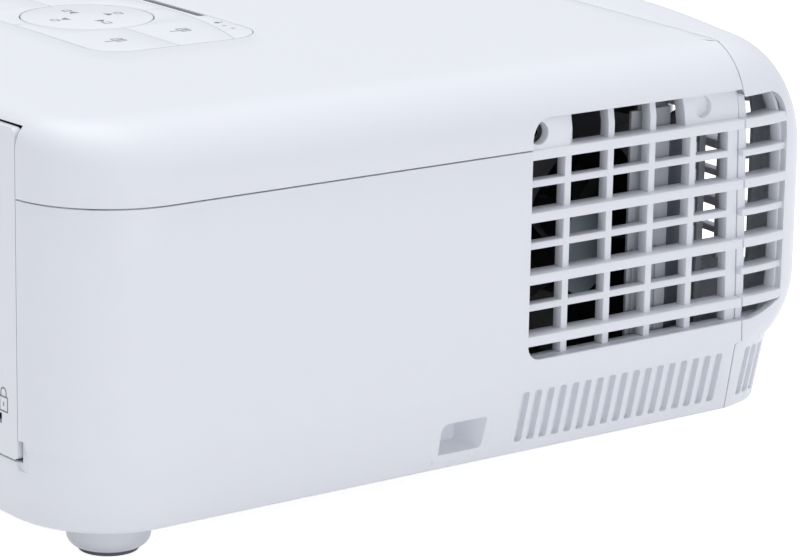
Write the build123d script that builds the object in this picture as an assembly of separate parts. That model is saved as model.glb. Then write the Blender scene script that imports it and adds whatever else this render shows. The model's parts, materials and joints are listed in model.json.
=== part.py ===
from build123d import *
import os
from functools import lru_cache
from math import acos, asin, cos, degrees, radians, sin, sqrt

# A lamp projector with a disc player built into its left side.
# Millimetres. +Z is up, the lens looks along -Y, the connectors face +Y, and the tray comes out along +X.
# The origin is on the surface the feet stand on, under the middle of the case.

# ---- Driving dimensions of the case ----
WIDTH = 332.0
DEPTH = 276.0
HEIGHT = 126.5
CASE_BOTTOM = 12.0
WALL = 2.5
SHOULDER_EDGE = 123.0
SIDE_SHOULDER = 18.0
REAR_SHOULDER = 9.0
FRONT_SHOULDER = 26.0
REAR_CORNER = 30.0
FRONT_SWEEP = 91.0
FRONT_SWEEP_ANGLE = 11.0
FRONT_CORNER = 20.0
FRONT_BOW = 1000.0
CHIN_TOP = 52.0
CHIN_RADIUS = 22.0
CHIN_STEPS = 4
CREASE_Z = 34.0
FLANK_TAPER = 6.0

# ---- Seams between the case mouldings ----
SEAM_Z = 102.0
SEAM_Y = -93.6
SEAM_GAP = 0.4
LIP_REACH = 3.0
LIP_THICK = 1.5
FIT_GAP = 0.3
FACE_GAP = 0.02

# ---- Ventilation grilles ----
BAR_PITCH = 18.0
BAR_HEIGHT = 2.9
BAR_COUNT = 4
BAR_DEPTH = 7.0
THIN_BAR_HEIGHT = 2.1
RIB_PITCH = 15.7
RIB_WIDTH = 2.4
RIB_RECESS = 3.0
RIB_DEPTH = 3.7
SIDE_GRILLE_REAR = -13.1
FIRST_RIB_GAP = 14.3
SIDE_COLUMNS = 5
DISC_SIDE_COLUMNS = 4
BOTTOM_ROW = 4.2
TOP_ROW = 8.8
WIDE_RIB = 3.7
BEZEL_RIB = 3.8
BEZEL_CELL = 14.3
REAR_WINDOW_CORNERS = (4.5, 6.0)
BEZEL_WINDOW_CORNER = 7.0
FRONT_WINDOW_CORNER = 2.5
FRAME_MARGIN = 2.0
FRONT_CELL_START = -137.1
FRONT_COLUMNS = 7
BLOCK_RECESS = 1.0
BLOCK_OVERHANG = 2.8
DIMPLE_RADIUS = 3.2
DIMPLE_DEPTH = 1.5
BLOCK_FLOOR = 1.4
TAB_GAP = 1.6
TAB_SIZE = 7.0
GRILLE_ZONE = 150.0

# ---- Flank slots and security pocket ----
FIRST_SLOT_Y = -13.9
FIRST_BEZEL_SLOT_Y = -99.8
SLOT_PITCH = 4.6
BEZEL_SLOT_PITCH = 3.6
SLOT_WIDTH = 2.6
SLOT_COUNT = 17
BEZEL_SLOT_COUNT = 3
SLOT_BLIND = 1.5
SLOT_LOW = 16.0
SLOT_HIGH = 31.6
POCKET_Y = (-1.2, 15.0)
POCKET_Z = (16.8, 26.6)
POCKET_DEPTH = 9.0
POCKET_WALL = 1.6
POCKET_TAPER = (5.0, 3.0)

# ---- Rear connector panel ----
PANEL_WIDTH = 274.6
PANEL_LOW = 30.6
PANEL_HIGH = 120.6
PANEL_THICK = 2.4
PANEL_GAP = 0.7
PANEL_RECESS = 0.3
SOCKET_GAP = 0.25

# ---- Feet ----
FOOT_RADIUS = 11.6
PAD_RADIUS = 8.6
PAD_THICK = 2.0
PAD_PROUD = 1.2
FOOT_STUD = 4.0
FOOT_FIT = 0.05
FOOT_STUD_LENGTH = 15.0
REAR_FEET = ((-134.3, 107.3), (134.3, 107.3))
FRONT_FOOT = (0.0, -102.0)

# ---- Keypad ----
PAD_CENTRE = (-36.0, 51.3)
PAD_PLATE = (98.0, 57.0)
PAD_PLATE_BACKSET = 3.5
PAD_PLATE_CORNER = 10.0
DPAD_RADIUS = 19.5
DPAD_THICK = 2.2
DPAD_GAP = 0.5
KEY_GAP = 0.3
KEY_THICK = 2.0
KEY_STEM = 2.0
KEY_STEM_REACH = (36.0, 11.0)
STRIP_ARC_RADIUS = 145.0
STRIP_MIDDLE = 4.6
STRIP_THICK = 3.1
STRIP_WINDOW = (32.0, 3.2)
STRIP_LAMP_PITCH = 4.5
KEYPAD_BOARD_DROP = 8.6
KEYPAD_SHEET = 1.6

# ---- Lens ----
LENS_X = 85.0
LENS_Z = 66.0
BARREL_RADIUS = 27.0
BARREL_BORE = 24.5
RING_RADIUS = 31.0
RING_WIDTH = 9.5
RING_GAP = 0.3
COLLAR_WIDTH = 2.0
COLLAR_HEIGHT = 2.2
LENS_INSET = 8.0
RING_OFFSET = 9.0
FLANGE_THICK = 3.0
GLASS_STEP = 5.0
RUNNING_FIT = 0.05
HOOD_BORE = 37.0
HOOD_WALL = 2.4
IR_X = 18.0
IR_Z = 92.0

# ---- Light path ----
ROD_CELL = (3.95, 3.15)
RELAY_RADIUS = 12.45
LIGHT_Y = -12.0
LIGHT_Z = 58.0
ENGINE_X = (40.0, 128.0)
ENGINE_Y = (-45.0, 22.0)
ENGINE_Z = (36.0, 80.0)
ENGINE_WALL = 3.0
LAMP_X = (-104.0, -46.0)
LAMP_HALF = 34.0
WHEEL_RADIUS = 20.0
WHEEL_X = -38.0
WHEEL_LIFT = 17.0

# ---- Disc player ----
DRIVE_X = (36.0, 163.2)
DRIVE_Y = (-23.0, 105.0)
DRIVE_Z = (84.0, 96.7)
DRIVE_SHEET = 0.8
RAIL_WIDTH = 1.6
DISC_WELL = 60.6
BRACKET_POSTS = ((134.0, -14.0), (134.0, 96.0), (30.0, 40.0))
BRACKET_SHEET = 1.2
BRACKET_BORDER = 14.0
PAN_SHEET = 0.8
DISC_FROM_FRONT = 64.0
SLED_START = 15.2
SLED_LENGTH = 12.0
ROD_RADIUS = 1.0
ROD_X = 17.0
SCREW_OFFSET = 22.5
LEAD_RADIUS = 0.9
STEPPER_LENGTH = 7.4
EJECT_TRAVEL = 0.7

# ---- Boards and fans ----
BOARD_THICK = 1.6
MAIN_BOARD_X = (-60.0, 118.0)
MAIN_BOARD_Y = (50.0, 131.0)
MAIN_BOARD_Z = 62.0
EXHAUST_FAN = 70.0
EXHAUST_FAN_DEPTH = 20.0
EXHAUST_CENTRE = (-129.0, -53.0)
EXHAUST_TURN = 16.0
POST_RADIUS = 4.0
SCREW_RADIUS = 1.5
SCREW_HEAD = 2.8
GUIDE_SHEET = 1.2
PSU_X = (-152.0, -74.0)
PSU_Y = (25.0, 97.0)
BALLAST_X = (-48.0, 30.0)
BALLAST_Y = (54.0, 126.0)

# ---- Worked-out values ----
HALF_WIDTH = WIDTH / 2
REAR_Y = DEPTH / 2
FRONT_Y = -DEPTH / 2
FLOOR_Z = CASE_BOTTOM + WALL
FAR = 400.0
ALL = (-FAR, FAR)
BAR_TOP = SEAM_Z
BAR_LOWS = [BAR_TOP - BAR_HEIGHT - BAR_PITCH * k for k in range(BAR_COUNT)]
WINDOW_LOW = BAR_LOWS[-1] - BOTTOM_ROW
WINDOW_HIGH = BAR_TOP + TOP_ROW
SCREW_LINE = BAR_TOP + TOP_ROW / 2
LAST_RIB_Y = SIDE_GRILLE_REAR - FIRST_RIB_GAP - (SIDE_COLUMNS - 2) * RIB_PITCH
FRONT_BLOCK = (SEAM_Y + SEAM_GAP / 2, LAST_RIB_Y + BLOCK_OVERHANG)
DIMPLE_Y = LAST_RIB_Y + BLOCK_OVERHANG - 7.2
BEZEL_WINDOW_Y = (SEAM_Y - BEZEL_RIB - BEZEL_CELL, SEAM_Y - BEZEL_RIB)
BEZEL_RIB_Y = (BEZEL_WINDOW_Y[1], SEAM_Y - SEAM_GAP / 2)
PANEL_FACE = REAR_Y - PANEL_RECESS
LENS_FRONT = FRONT_Y + LENS_INSET
FOCUS_Y = LENS_FRONT + RING_OFFSET
ZOOM_Y = FOCUS_Y + RING_WIDTH + COLLAR_WIDTH + 2 * RING_GAP
BARREL_END = ENGINE_Y[0] - FACE_GAP
KEYPAD_BOARD_TOP = HEIGHT - KEYPAD_BOARD_DROP
KEYPAD_MIDDLE = (PAD_CENTRE[0], PAD_CENTRE[1] - PAD_PLATE_BACKSET)
KEYPAD_FRONT = KEYPAD_MIDDLE[1] - PAD_PLATE[1] / 2
DPAD_WELL = DPAD_THICK + 2.1
DPAD_PIVOT_Z = HEIGHT - DPAD_THICK - 1.1
BOARD_TOP = MAIN_BOARD_Z + BOARD_THICK
BRACKET_TOP = DRIVE_Z[0] - 0.05
CHIP_BOARD_Y = ENGINE_Y[1] + 0.3
EXHAUST_Z = FLOOR_Z + 12.5 + EXHAUST_FAN / 2
EXHAUST_PLACE = Pos(*EXHAUST_CENTRE, EXHAUST_Z) * Rot(0, 0, EXHAUST_TURN)
PSU_Z = FLOOR_Z + 6.0
BALLAST_Z = (FLOOR_Z + 5.0, FLOOR_Z + 29.0)
RIGHT, LEFT = -1, 1
FRONT, REAR = -1, 1


# ---- Small helpers ----
def block(x, y, z):
    """A box from three (low, high) pairs."""
    size = [max(p) - min(p) for p in (x, y, z)]
    middle = [(p[0] + p[1]) / 2 for p in (x, y, z)]
    return Pos(*middle) * Box(*size)


def span(centre, size):
    """The (low, high) pair of a size about a centre."""
    return (centre - size / 2, centre + size / 2)


def rod(radius, start, end):
    """A cylinder from one point to another."""
    way = Vector(*end) - Vector(*start)
    return Part() + Solid.make_cylinder(radius, way.length, Plane(origin=start, z_dir=way))


def tube(outer, inner, start, end):
    """A round tube from one point to another."""
    return rod(outer, start, end) - rod(inner, start, end)


def screw(head_at, way, length, radius=SCREW_RADIUS, head=SCREW_HEAD, head_height=1.8):
    """A pan screw: its head's underside is at head_at and its shank runs along way."""
    point = Vector(*head_at)
    along = Vector(*way).normalized()
    body = rod(head, point - along * head_height, point) + rod(radius, point, point + along * length)
    recess = rod(head * 0.45, point - along * head_height, point - along * (head_height * 0.45))
    return body - recess


def both_sides(piece):
    """A piece and its mirror image across the middle plane."""
    return piece + mirror(piece, about=Plane.YZ)


def side_range(side, low, high):
    """The x pair between two distances from the middle plane, on one side."""
    return (side * low, side * high)


# ---- The case's outer form, and the same form drawn in evenly ----
def on_arc(centre, radius, angle):
    """A point on an arc: angle 0 looks along -X and 90 along -Y."""
    return (centre[0] - radius * cos(radians(angle)), centre[1] - radius * sin(radians(angle)))


def corner_centres(side=0.0, front=0.0):
    """The plan centres of the right side's sweep and front corner, and the angle at which the bow begins."""
    half = HALF_WIDTH - side
    corner_x = -half + FRONT_SWEEP - (FRONT_SWEEP - FRONT_CORNER) * cos(radians(FRONT_SWEEP_ANGLE))
    bow_angle = degrees(acos(-corner_x / (FRONT_BOW - FRONT_CORNER)))
    corner_y = FRONT_Y + front + FRONT_BOW - (FRONT_BOW - FRONT_CORNER) * sin(radians(bow_angle))
    sweep_y = corner_y + (FRONT_SWEEP - FRONT_CORNER) * sin(radians(FRONT_SWEEP_ANGLE))
    return (-half + FRONT_SWEEP, sweep_y), (corner_x, corner_y), bow_angle


def outline(inset=0.0, side=0.0, front=0.0):
    """The case seen from above: rounded rear corners, and a swept front with a slight bow."""
    half = HALF_WIDTH - side
    nose = FRONT_Y + front
    rear_centre = (-(half - REAR_CORNER), REAR_Y - REAR_CORNER)
    sweep, corner, bow_angle = corner_centres(side, front)
    sweep_radius = FRONT_SWEEP - inset
    corner_radius = FRONT_CORNER - inset
    middle_angle = (FRONT_SWEEP_ANGLE + bow_angle) / 2
    left = [
        (rear_centre[0], REAR_Y - inset),
        on_arc(rear_centre, REAR_CORNER - inset, -45),
        (-half + inset, rear_centre[1]),
        (-half + inset, sweep[1]),
        on_arc(sweep, sweep_radius, FRONT_SWEEP_ANGLE / 2),
        on_arc(sweep, sweep_radius, FRONT_SWEEP_ANGLE),
        on_arc(corner, corner_radius, middle_angle),
        on_arc(corner, corner_radius, bow_angle),
    ]
    right = [(-x, y) for x, y in left]
    edges = [
        Line(right[0], left[0]),
        ThreePointArc(left[0], left[1], left[2]),
        Line(left[2], left[3]),
        ThreePointArc(left[3], left[4], left[5]),
        ThreePointArc(left[5], left[6], left[7]),
        ThreePointArc(left[7], (0, nose + inset), right[7]),
        ThreePointArc(right[7], right[6], right[5]),
        ThreePointArc(right[5], right[4], right[3]),
        Line(right[3], right[2]),
        ThreePointArc(right[2], right[1], right[0]),
    ]
    return make_face(edges)


def side_profile(inset):
    """The case seen from the front: crowned top and rounded shoulders, as a long prism along Y."""
    half = HALF_WIDTH - inset
    edge = SHOULDER_EDGE - inset
    lines = [
        Line((-half, 0), (half, 0)),
        Line((half, 0), (half, edge)),
        ThreePointArc((half, edge), (0, HEIGHT - inset), (-half, edge)),
        Line((-half, edge), (-half, 0)),
    ]
    face = Plane.XZ * make_face(lines)
    shoulders = face.vertices().sort_by(Axis.Z)[-2:]
    return extrude(fillet(shoulders, SIDE_SHOULDER - inset), amount=FAR, both=True)


def length_profile(inset):
    """The case seen from the side: rounded rear and front shoulders, as a long prism along X."""
    low, high = FRONT_Y + inset, REAR_Y - inset
    top = HEIGHT - inset
    face = Plane.YZ * Pos((low + high) / 2, top / 2) * Rectangle(high - low, top)
    corners = face.vertices().sort_by(Axis.Z)[-2:]
    front, rear = corners.sort_by(Axis.Y)
    face = fillet(rear, REAR_SHOULDER - inset)
    front = face.vertices().sort_by(Axis.Y)[:2].sort_by(Axis.Z)[-1]
    return extrude(fillet(front, FRONT_SHOULDER - inset), amount=FAR, both=True)


def chin_setback(z):
    """How far the front stands back at a height in the arc under it."""
    return CHIN_RADIUS - sqrt(CHIN_RADIUS ** 2 - (CHIN_TOP - z) ** 2)


@lru_cache(maxsize=None)
def form(inset):
    """The whole case as one solid, drawn in evenly by inset."""
    upper = extrude(Pos(0, 0, CHIN_TOP) * outline(inset), amount=HEIGHT)
    upper = upper & side_profile(inset) & length_profile(inset)
    heights = [CHIN_TOP + (CREASE_Z - CHIN_TOP) * k / CHIN_STEPS for k in range(CHIN_STEPS + 1)]
    sections = [Pos(0, 0, z) * outline(inset, front=chin_setback(z)) for z in heights]
    foot_line = outline(inset, side=FLANK_TAPER, front=chin_setback(CREASE_Z))
    chin = loft(sections, ruled=True)
    flank = loft([sections[-1], Pos(0, 0, CASE_BOTTOM) * foot_line], ruled=True)
    whole = upper + chin + flank
    return whole & block(ALL, ALL, (CASE_BOTTOM + inset, HEIGHT * 2))


def skin(outer, inner):
    """The layer of the case between two insets."""
    return form(outer) - form(inner)


def wall_lip(zone):
    """A thin tongue inside the wall, kept to a zone."""
    return skin(WALL - 0.5, WALL + LIP_THICK) & zone


# ---- Grilles ----
def bar_slab(k):
    """The height band of thick bar k, counted from the top."""
    return (BAR_LOWS[k], BAR_LOWS[k] + BAR_HEIGHT)


def thin_slab(k):
    """The height band of the thin bar between thick bars k and k + 1."""
    middle = (BAR_LOWS[k] + BAR_LOWS[k + 1] + BAR_HEIGHT) / 2
    return (middle - THIN_BAR_HEIGHT / 2, middle + THIN_BAR_HEIGHT / 2)


def grille_rear(columns):
    """The rear edge of a side grille with so many columns."""
    return SIDE_GRILLE_REAR - (SIDE_COLUMNS - columns) * RIB_PITCH


def side_window(side, columns, spare=0.0):
    """The space of one side grille, from the seam to its rear edge, with rounded rear corners."""
    rear = grille_rear(columns)
    low, high = WINDOW_LOW + spare, WINDOW_HIGH - spare
    front = SEAM_Y - 1
    face = Plane.YZ * Pos((front + rear - spare) / 2, (low + high) / 2)
    face = face * Rectangle(rear - spare - front, high - low)
    rear_corners = face.vertices().sort_by(Axis.Y)[-2:].sort_by(Axis.Z)
    face = fillet(rear_corners[0], REAR_WINDOW_CORNERS[0])
    upper = face.vertices().sort_by(Axis.Z)[-2:].sort_by(Axis.Y)[-1]
    face = fillet(upper, REAR_WINDOW_CORNERS[1])
    return Pos(side * GRILLE_ZONE, 0, 0) * extrude(face, amount=side * FAR)


def hood_cut(side, columns):
    """What the cover leaves free above a side grille."""
    return side_window(side, columns, -FIT_GAP) & block(ALL, ALL, (SEAM_Z - 1, FAR))


def side_grille(side, columns):
    """Thick flush bars, recessed thin bars and ribs, and the two solid blocks of the top row."""
    rear = grille_rear(columns)
    front = SEAM_Y + SEAM_GAP / 2
    zone = block(side_range(side, GRILLE_ZONE, FAR), (front, rear), (WINDOW_LOW, WINDOW_HIGH))
    deep = skin(0, BAR_DEPTH) & zone
    recessed = skin(RIB_RECESS, RIB_RECESS + RIB_DEPTH) & zone
    pieces = [deep & block(ALL, ALL, bar_slab(k)) for k in range(BAR_COUNT)]
    pieces += [recessed & block(ALL, ALL, thin_slab(k)) for k in range(BAR_COUNT - 1)]
    for k in range(columns - 1):
        rib = rear - FIRST_RIB_GAP - RIB_PITCH * k
        pieces.append(recessed & block(ALL, (rib - RIB_WIDTH, rib), ALL))
    pieces.append(recessed & block(ALL, (front, front + WIDE_RIB), ALL))
    blocks = skin(BLOCK_RECESS, BAR_DEPTH) & zone & block(ALL, ALL, (BAR_TOP, WINDOW_HIGH))
    pieces += [blocks & block(ALL, span, ALL) for span in (rear_block(columns), FRONT_BLOCK)]
    grille = Part() + pieces
    y = screw_place(columns)
    well = side * (HALF_WIDTH - BAR_DEPTH + BLOCK_FLOOR)
    through = side * (HALF_WIDTH - BAR_DEPTH - 1)
    grille -= rod(DIMPLE_RADIUS, (well, y, SCREW_LINE), (side * FAR, y, SCREW_LINE))
    grille -= rod(SCREW_RADIUS + 0.2, (through, y, SCREW_LINE), (side * HALF_WIDTH, y, SCREW_LINE))
    floor = side * (HALF_WIDTH - BLOCK_RECESS - DIMPLE_DEPTH)
    grille -= rod(DIMPLE_RADIUS, (floor, DIMPLE_Y, SCREW_LINE), (side * FAR, DIMPLE_Y, SCREW_LINE))
    return grille & side_window(side, columns)


def rear_block(columns):
    """The Y pair of the solid block at the rear end of a grille's top row."""
    rear = grille_rear(columns)
    return (rear - FIRST_RIB_GAP, rear)


def screw_place(columns):
    """The Y of a side's cover screw."""
    return grille_rear(columns) - DIMPLE_RADIUS


def grille_frame(side, columns):
    """The deep edge round a side grille's opening."""
    rear = grille_rear(columns)
    layer = skin(WALL - 0.2, BAR_DEPTH) & block(side_range(side, GRILLE_ZONE, FAR), ALL, ALL)
    front = SEAM_Y + SEAM_GAP / 2
    low = WINDOW_LOW - FRAME_MARGIN
    behind = layer & block(ALL, (rear, rear + FRAME_MARGIN), (low, SEAM_Z - SEAM_GAP / 2))
    below = layer & block(ALL, (front, rear + FRAME_MARGIN), (low, WINDOW_LOW))
    return behind + below


def bezel_side_window(side):
    """The bezel's column of cells, with a crescent foot and a rounded upper front corner."""
    front, rear = BEZEL_WINDOW_Y
    foot = BAR_LOWS[-1]
    lines = [
        Line((rear, WINDOW_LOW), (rear, WINDOW_HIGH)),
        Line((rear, WINDOW_HIGH), (front, WINDOW_HIGH)),
        Line((front, WINDOW_HIGH), (front, foot)),
        ThreePointArc((front, foot), ((front + rear) / 2, foot - BOTTOM_ROW * 0.62), (rear, WINDOW_LOW)),
    ]
    face = Plane.YZ * make_face(lines)
    corner = face.vertices().sort_by(Axis.Z)[-2:].sort_by(Axis.Y)[0]
    face = fillet(corner, BEZEL_WINDOW_CORNER)
    return Pos(side * (GRILLE_ZONE - 12), 0, 0) * extrude(face, amount=side * FAR)


def front_window():
    """The space of the front grille, with rounded corners."""
    high = BAR_TOP + TOP_ROW * 0.8
    low = BAR_LOWS[-1] + BAR_HEIGHT
    end = FRONT_CELL_START + FRONT_COLUMNS * RIB_PITCH - RIB_WIDTH
    face = Plane.XZ * Pos((FRONT_CELL_START + end) / 2, (low + high) / 2)
    face = face * Rectangle(end - FRONT_CELL_START, high - low)
    face = fillet(face.vertices(), FRONT_WINDOW_CORNER)
    return Pos(0, SEAM_Y - 20, 0) * extrude(face, amount=FAR)


def bezel_grille(window, ribs):
    """Bars and ribs in one window of the bezel."""
    deep = skin(0, BAR_DEPTH) & window
    recessed = skin(RIB_RECESS, BAR_DEPTH) & window
    pieces = [deep & block(ALL, ALL, bar_slab(k)) for k in range(BAR_COUNT)]
    pieces += [recessed & block(ALL, ALL, thin_slab(k)) for k in range(BAR_COUNT - 1)]
    pieces += [recessed & block(x, ALL, ALL) for x in ribs]
    return Part() + [p for p in pieces if p.volume > 1]


# ---- Flank details ----
def flank_x(z):
    """The outer half width of the flank at a height."""
    return HALF_WIDTH - FLANK_TAPER * (CREASE_Z - z) / (CREASE_Z - CASE_BOTTOM)


def flank_point(y, z):
    """The X of the right flank's surface at a place, and how far it has turned towards the front."""
    sweep, corner, _ = corner_centres(HALF_WIDTH - flank_x(z), chin_setback(CREASE_Z))
    turn = degrees(asin(max(0.0, sweep[1] - y) / FRONT_SWEEP))
    if turn < FRONT_SWEEP_ANGLE:
        return sweep[0] - FRONT_SWEEP * cos(radians(turn)), turn
    turn = degrees(asin((corner[1] - y) / FRONT_CORNER))
    return corner[0] - FRONT_CORNER * cos(radians(turn)), turn


def flank_slots(first, pitch, count):
    """Blind upright slots in both flanks, leaning and turning with them."""
    lean = degrees(asin((flank_x(SLOT_HIGH) - flank_x(SLOT_LOW)) / (SLOT_HIGH - SLOT_LOW)))
    middle = (SLOT_LOW + SLOT_HIGH) / 2
    slot = Plane.YZ * SlotOverall(SLOT_HIGH - SLOT_LOW, SLOT_WIDTH, rotation=90)
    cutter = Rot(0, -lean, 0) * extrude(slot, amount=SLOT_BLIND, both=True)
    slots = []
    for y in [first - pitch * k for k in range(count)]:
        x, turn = flank_point(y, middle)
        slots.append(Pos(x, y, middle) * Rot(0, 0, turn) * cutter)
    return both_sides(Part() + slots)


def pocket_solid(extra=0.0):
    """The tapering space of the security-bar pocket in the right flank."""
    x_out = -HALF_WIDTH - 2
    x_in = -flank_x(POCKET_Z[0]) + POCKET_DEPTH + extra
    outer = Plane.YZ.offset(x_out) * Pos(sum(POCKET_Y) / 2, sum(POCKET_Z) / 2)
    width = POCKET_Y[1] - POCKET_Y[0] + 2 * extra
    height = POCKET_Z[1] - POCKET_Z[0] + 2 * extra
    outer = outer * Rectangle(width, height)
    inner = Plane.YZ.offset(x_in) * Pos(sum(POCKET_Y) / 2, sum(POCKET_Z) / 2)
    inner = inner * Rectangle(width - POCKET_TAPER[0], height - POCKET_TAPER[1])
    return loft([outer, inner], ruled=True)


# ---- Case mouldings ----
def rear_opening(spare):
    """The opening of the connector panel in the rear walls."""
    half = PANEL_WIDTH / 2 + spare
    return block((-half, half), (REAR_Y - 8, FAR), (PANEL_LOW - spare, PANEL_HIGH + spare))


def post(x, y, top, radius=POST_RADIUS):
    """A hollow screw post standing on the case floor."""
    return rod(radius, (x, y, FLOOR_Z - 0.5), (x, y, top))


def post_hole(x, y, top):
    """The screw hole in a post."""
    return rod(SCREW_RADIUS + 0.1, (x, y, top - 12), (x, y, top + 1))


def board_posts():
    """Where the main board is screwed down."""
    x_low, x_high = MAIN_BOARD_X
    y_low, y_high = MAIN_BOARD_Y
    return [(x, y) for x in (x_low + 5, x_high - 5) for y in (y_low + 5, y_high - 17)]


def lower_case():
    """The lower half shell with its grilles, flank details, foot bosses and posts."""
    rear_half = block(ALL, (SEAM_Y + SEAM_GAP / 2, FAR), (0, SEAM_Z - SEAM_GAP / 2))
    case = skin(0, WALL) & rear_half
    lip = wall_lip(block(ALL, (SEAM_Y + 12, FAR), (SEAM_Z - 6, SEAM_Z + LIP_REACH)))
    lip -= both_sides(block((GRILLE_ZONE - 5, FAR), (SEAM_Y, 0), ALL))
    case += lip - rear_opening(1.0)
    for side, columns in ((RIGHT, SIDE_COLUMNS), (LEFT, DISC_SIDE_COLUMNS)):
        case -= side_window(side, columns)
        case += grille_frame(side, columns)
        case += side_grille(side, columns)
    case -= flank_slots(FIRST_SLOT_Y, SLOT_PITCH, SLOT_COUNT)
    case -= rear_opening(PANEL_GAP)
    case += (pocket_solid(POCKET_WALL) & form(WALL - 0.2)) & block(ALL, ALL, (0, SEAM_Z))
    case -= pocket_solid()
    case -= tray_slot()
    case += Part() + [post(x, y, 30.0, FOOT_STUD + 3.5) for x, y in REAR_FEET]
    case += Part() + [post(x, y, MAIN_BOARD_Z) for x, y in board_posts()]
    case += Part() + [post(x, y, BRACKET_TOP - BRACKET_SHEET) for x, y in BRACKET_POSTS]
    case += Part() + [post(x, y, PSU_Z, 3.0) for x, y in psu_posts()]
    case += fan_cradles() + floor_pads()
    case -= Part() + [foot_bore(x, y) for x, y in REAR_FEET]
    case -= Part() + [post_hole(x, y, MAIN_BOARD_Z) for x, y in board_posts()]
    case -= Part() + [post_hole(x, y, BRACKET_TOP - BRACKET_SHEET) for x, y in BRACKET_POSTS]
    return case


def top_cover():
    """The one-piece cover: crowned top, rounded shoulders, and openings for keypad and panel."""
    rear_half = block(ALL, (SEAM_Y + SEAM_GAP / 2, FAR), (SEAM_Z + SEAM_GAP / 2, FAR))
    cover = skin(0, WALL) & rear_half
    rebate = form(WALL - 0.7)
    cover -= rebate & block(ALL, ALL, (0, SEAM_Z + LIP_REACH + FIT_GAP)) - form(WALL + LIP_THICK + 1)
    cover -= rebate & block(ALL, (-FAR, SEAM_Y + LIP_REACH + FIT_GAP), ALL) - form(WALL + LIP_THICK + 1)
    cover -= rear_opening(PANEL_GAP)
    cover -= extrude(Pos(0, 0, HEIGHT - 12) * keypad_outline(KEY_GAP), amount=20)
    for side, columns in ((RIGHT, SIDE_COLUMNS), (LEFT, DISC_SIDE_COLUMNS)):
        cover -= hood_cut(side, columns)
        cover += screw_tab(side, screw_place(columns))
    return cover


def screw_tab(side, y):
    """A lug of the cover that hangs behind a screw block and takes its screw."""
    far = HALF_WIDTH - BAR_DEPTH - TAB_GAP
    half = TAB_SIZE / 2
    lug = block(side_range(side, far - TAB_SIZE, far), (y - half, y + half), (SCREW_LINE - half, HEIGHT))
    lug = lug & form(WALL - 0.5)
    return lug - rod(SCREW_RADIUS + 0.1, (side * (far - 8), y, SCREW_LINE), (side * FAR, y, SCREW_LINE))


def front_bezel():
    """The front moulding: corner grilles, front grille, lens hood and ring access."""
    front_half = block(ALL, (-FAR, SEAM_Y - SEAM_GAP / 2), ALL)
    bezel = skin(0, WALL) & front_half
    top_lip = block((-120, 120), (SEAM_Y - 6, SEAM_Y + LIP_REACH), (SEAM_Z + 8, FAR))
    bezel += wall_lip(top_lip)
    outer_side = block((-FAR, FRONT_CELL_START), ALL, ALL)
    window = front_window()
    corner = skin(WALL - 0.2, BAR_DEPTH) & outer_side
    corner = corner & block(ALL, (-FAR, BEZEL_WINDOW_Y[0]), (WINDOW_LOW - FRAME_MARGIN, WINDOW_HIGH))
    bezel += both_sides(corner)
    for side in (RIGHT, LEFT):
        cells = bezel_side_window(side)
        bezel -= cells
        rib_space = block(side_range(side, GRILLE_ZONE, FAR), BEZEL_RIB_Y, (WINDOW_LOW, WINDOW_HIGH))
        bars = skin(0, BAR_DEPTH) & rib_space
        bezel -= rib_space
        bezel += skin(RIB_RECESS, BAR_DEPTH) & rib_space
        bezel += Part() + [bars & block(ALL, ALL, bar_slab(k)) for k in range(BAR_COUNT)]
        bezel += bezel_grille(cells, [])
    bezel -= flank_slots(FIRST_BEZEL_SLOT_Y, BEZEL_SLOT_PITCH, BEZEL_SLOT_COUNT)
    bezel -= window
    ribs = [FRONT_CELL_START + RIB_PITCH * k for k in range(1, FRONT_COLUMNS)]
    bezel += bezel_grille(window, [(x - RIB_WIDTH, x) for x in ribs])
    bezel += lens_hood()
    bezel -= rod(HOOD_BORE, (LENS_X, -FAR, LENS_Z), (LENS_X, SEAM_Y - 8, LENS_Z))
    bezel -= ring_access()
    bezel -= ir_window_solid(0.2)
    bezel += post(*FRONT_FOOT, 30.0, FOOT_STUD + 3.5)
    return bezel - foot_bore(*FRONT_FOOT)


def lens_hood():
    """The round tunnel in front of the lens."""
    hood = tube(HOOD_BORE + HOOD_WALL, HOOD_BORE, (LENS_X, -FAR, LENS_Z), (LENS_X, SEAM_Y - 10, LENS_Z))
    return hood & form(0.2)


def ring_access():
    """The opening above the lens through which its rings are turned."""
    y = (FOCUS_Y - 1.5, ZOOM_Y + RING_WIDTH + 1.5)
    face = Pos(LENS_X, sum(y) / 2, LENS_Z + BARREL_RADIUS) * RectangleRounded(36, y[1] - y[0], 4)
    return extrude(face, amount=FAR)


def ir_window_solid(spare):
    """The window of the front remote-control receiver."""
    face = Plane.XZ * Pos(IR_X, IR_Z) * RectangleRounded(22 + 2 * spare, 9 + 2 * spare, 3)
    return Pos(0, SEAM_Y - 20, 0) * extrude(face, amount=FAR) & skin(0, WALL + 0.6)


def sensor_windows():
    """The dark windows of the front remote-control receiver and of the keypad's edge."""
    keypad_window = skin(0.4, STRIP_THICK) & upright(window_face(0))
    return keypad_window + ir_window_solid(0)


# ---- Feet ----
def foot_bore(x, y):
    """The hole in which a foot's stud runs."""
    return rod(FOOT_STUD + FOOT_FIT, (x, y, 0), (x, y, CASE_BOTTOM + FOOT_STUD_LENGTH + 4))


def foot(x, y):
    """A screw foot: rounded body and stud."""
    top = CASE_BOTTOM - FIT_GAP
    body = rod(FOOT_RADIUS, (x, y, PAD_PROUD), (x, y, top))
    body = fillet(body.edges().filter_by(GeomType.CIRCLE).sort_by(Axis.Z)[0], 3.6)
    body -= rod(PAD_RADIUS - 1.0, (x, y, 0), (x, y, PAD_THICK))
    return body + rod(FOOT_STUD, (x, y, top - 1), (x, y, CASE_BOTTOM + FOOT_STUD_LENGTH))


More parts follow.
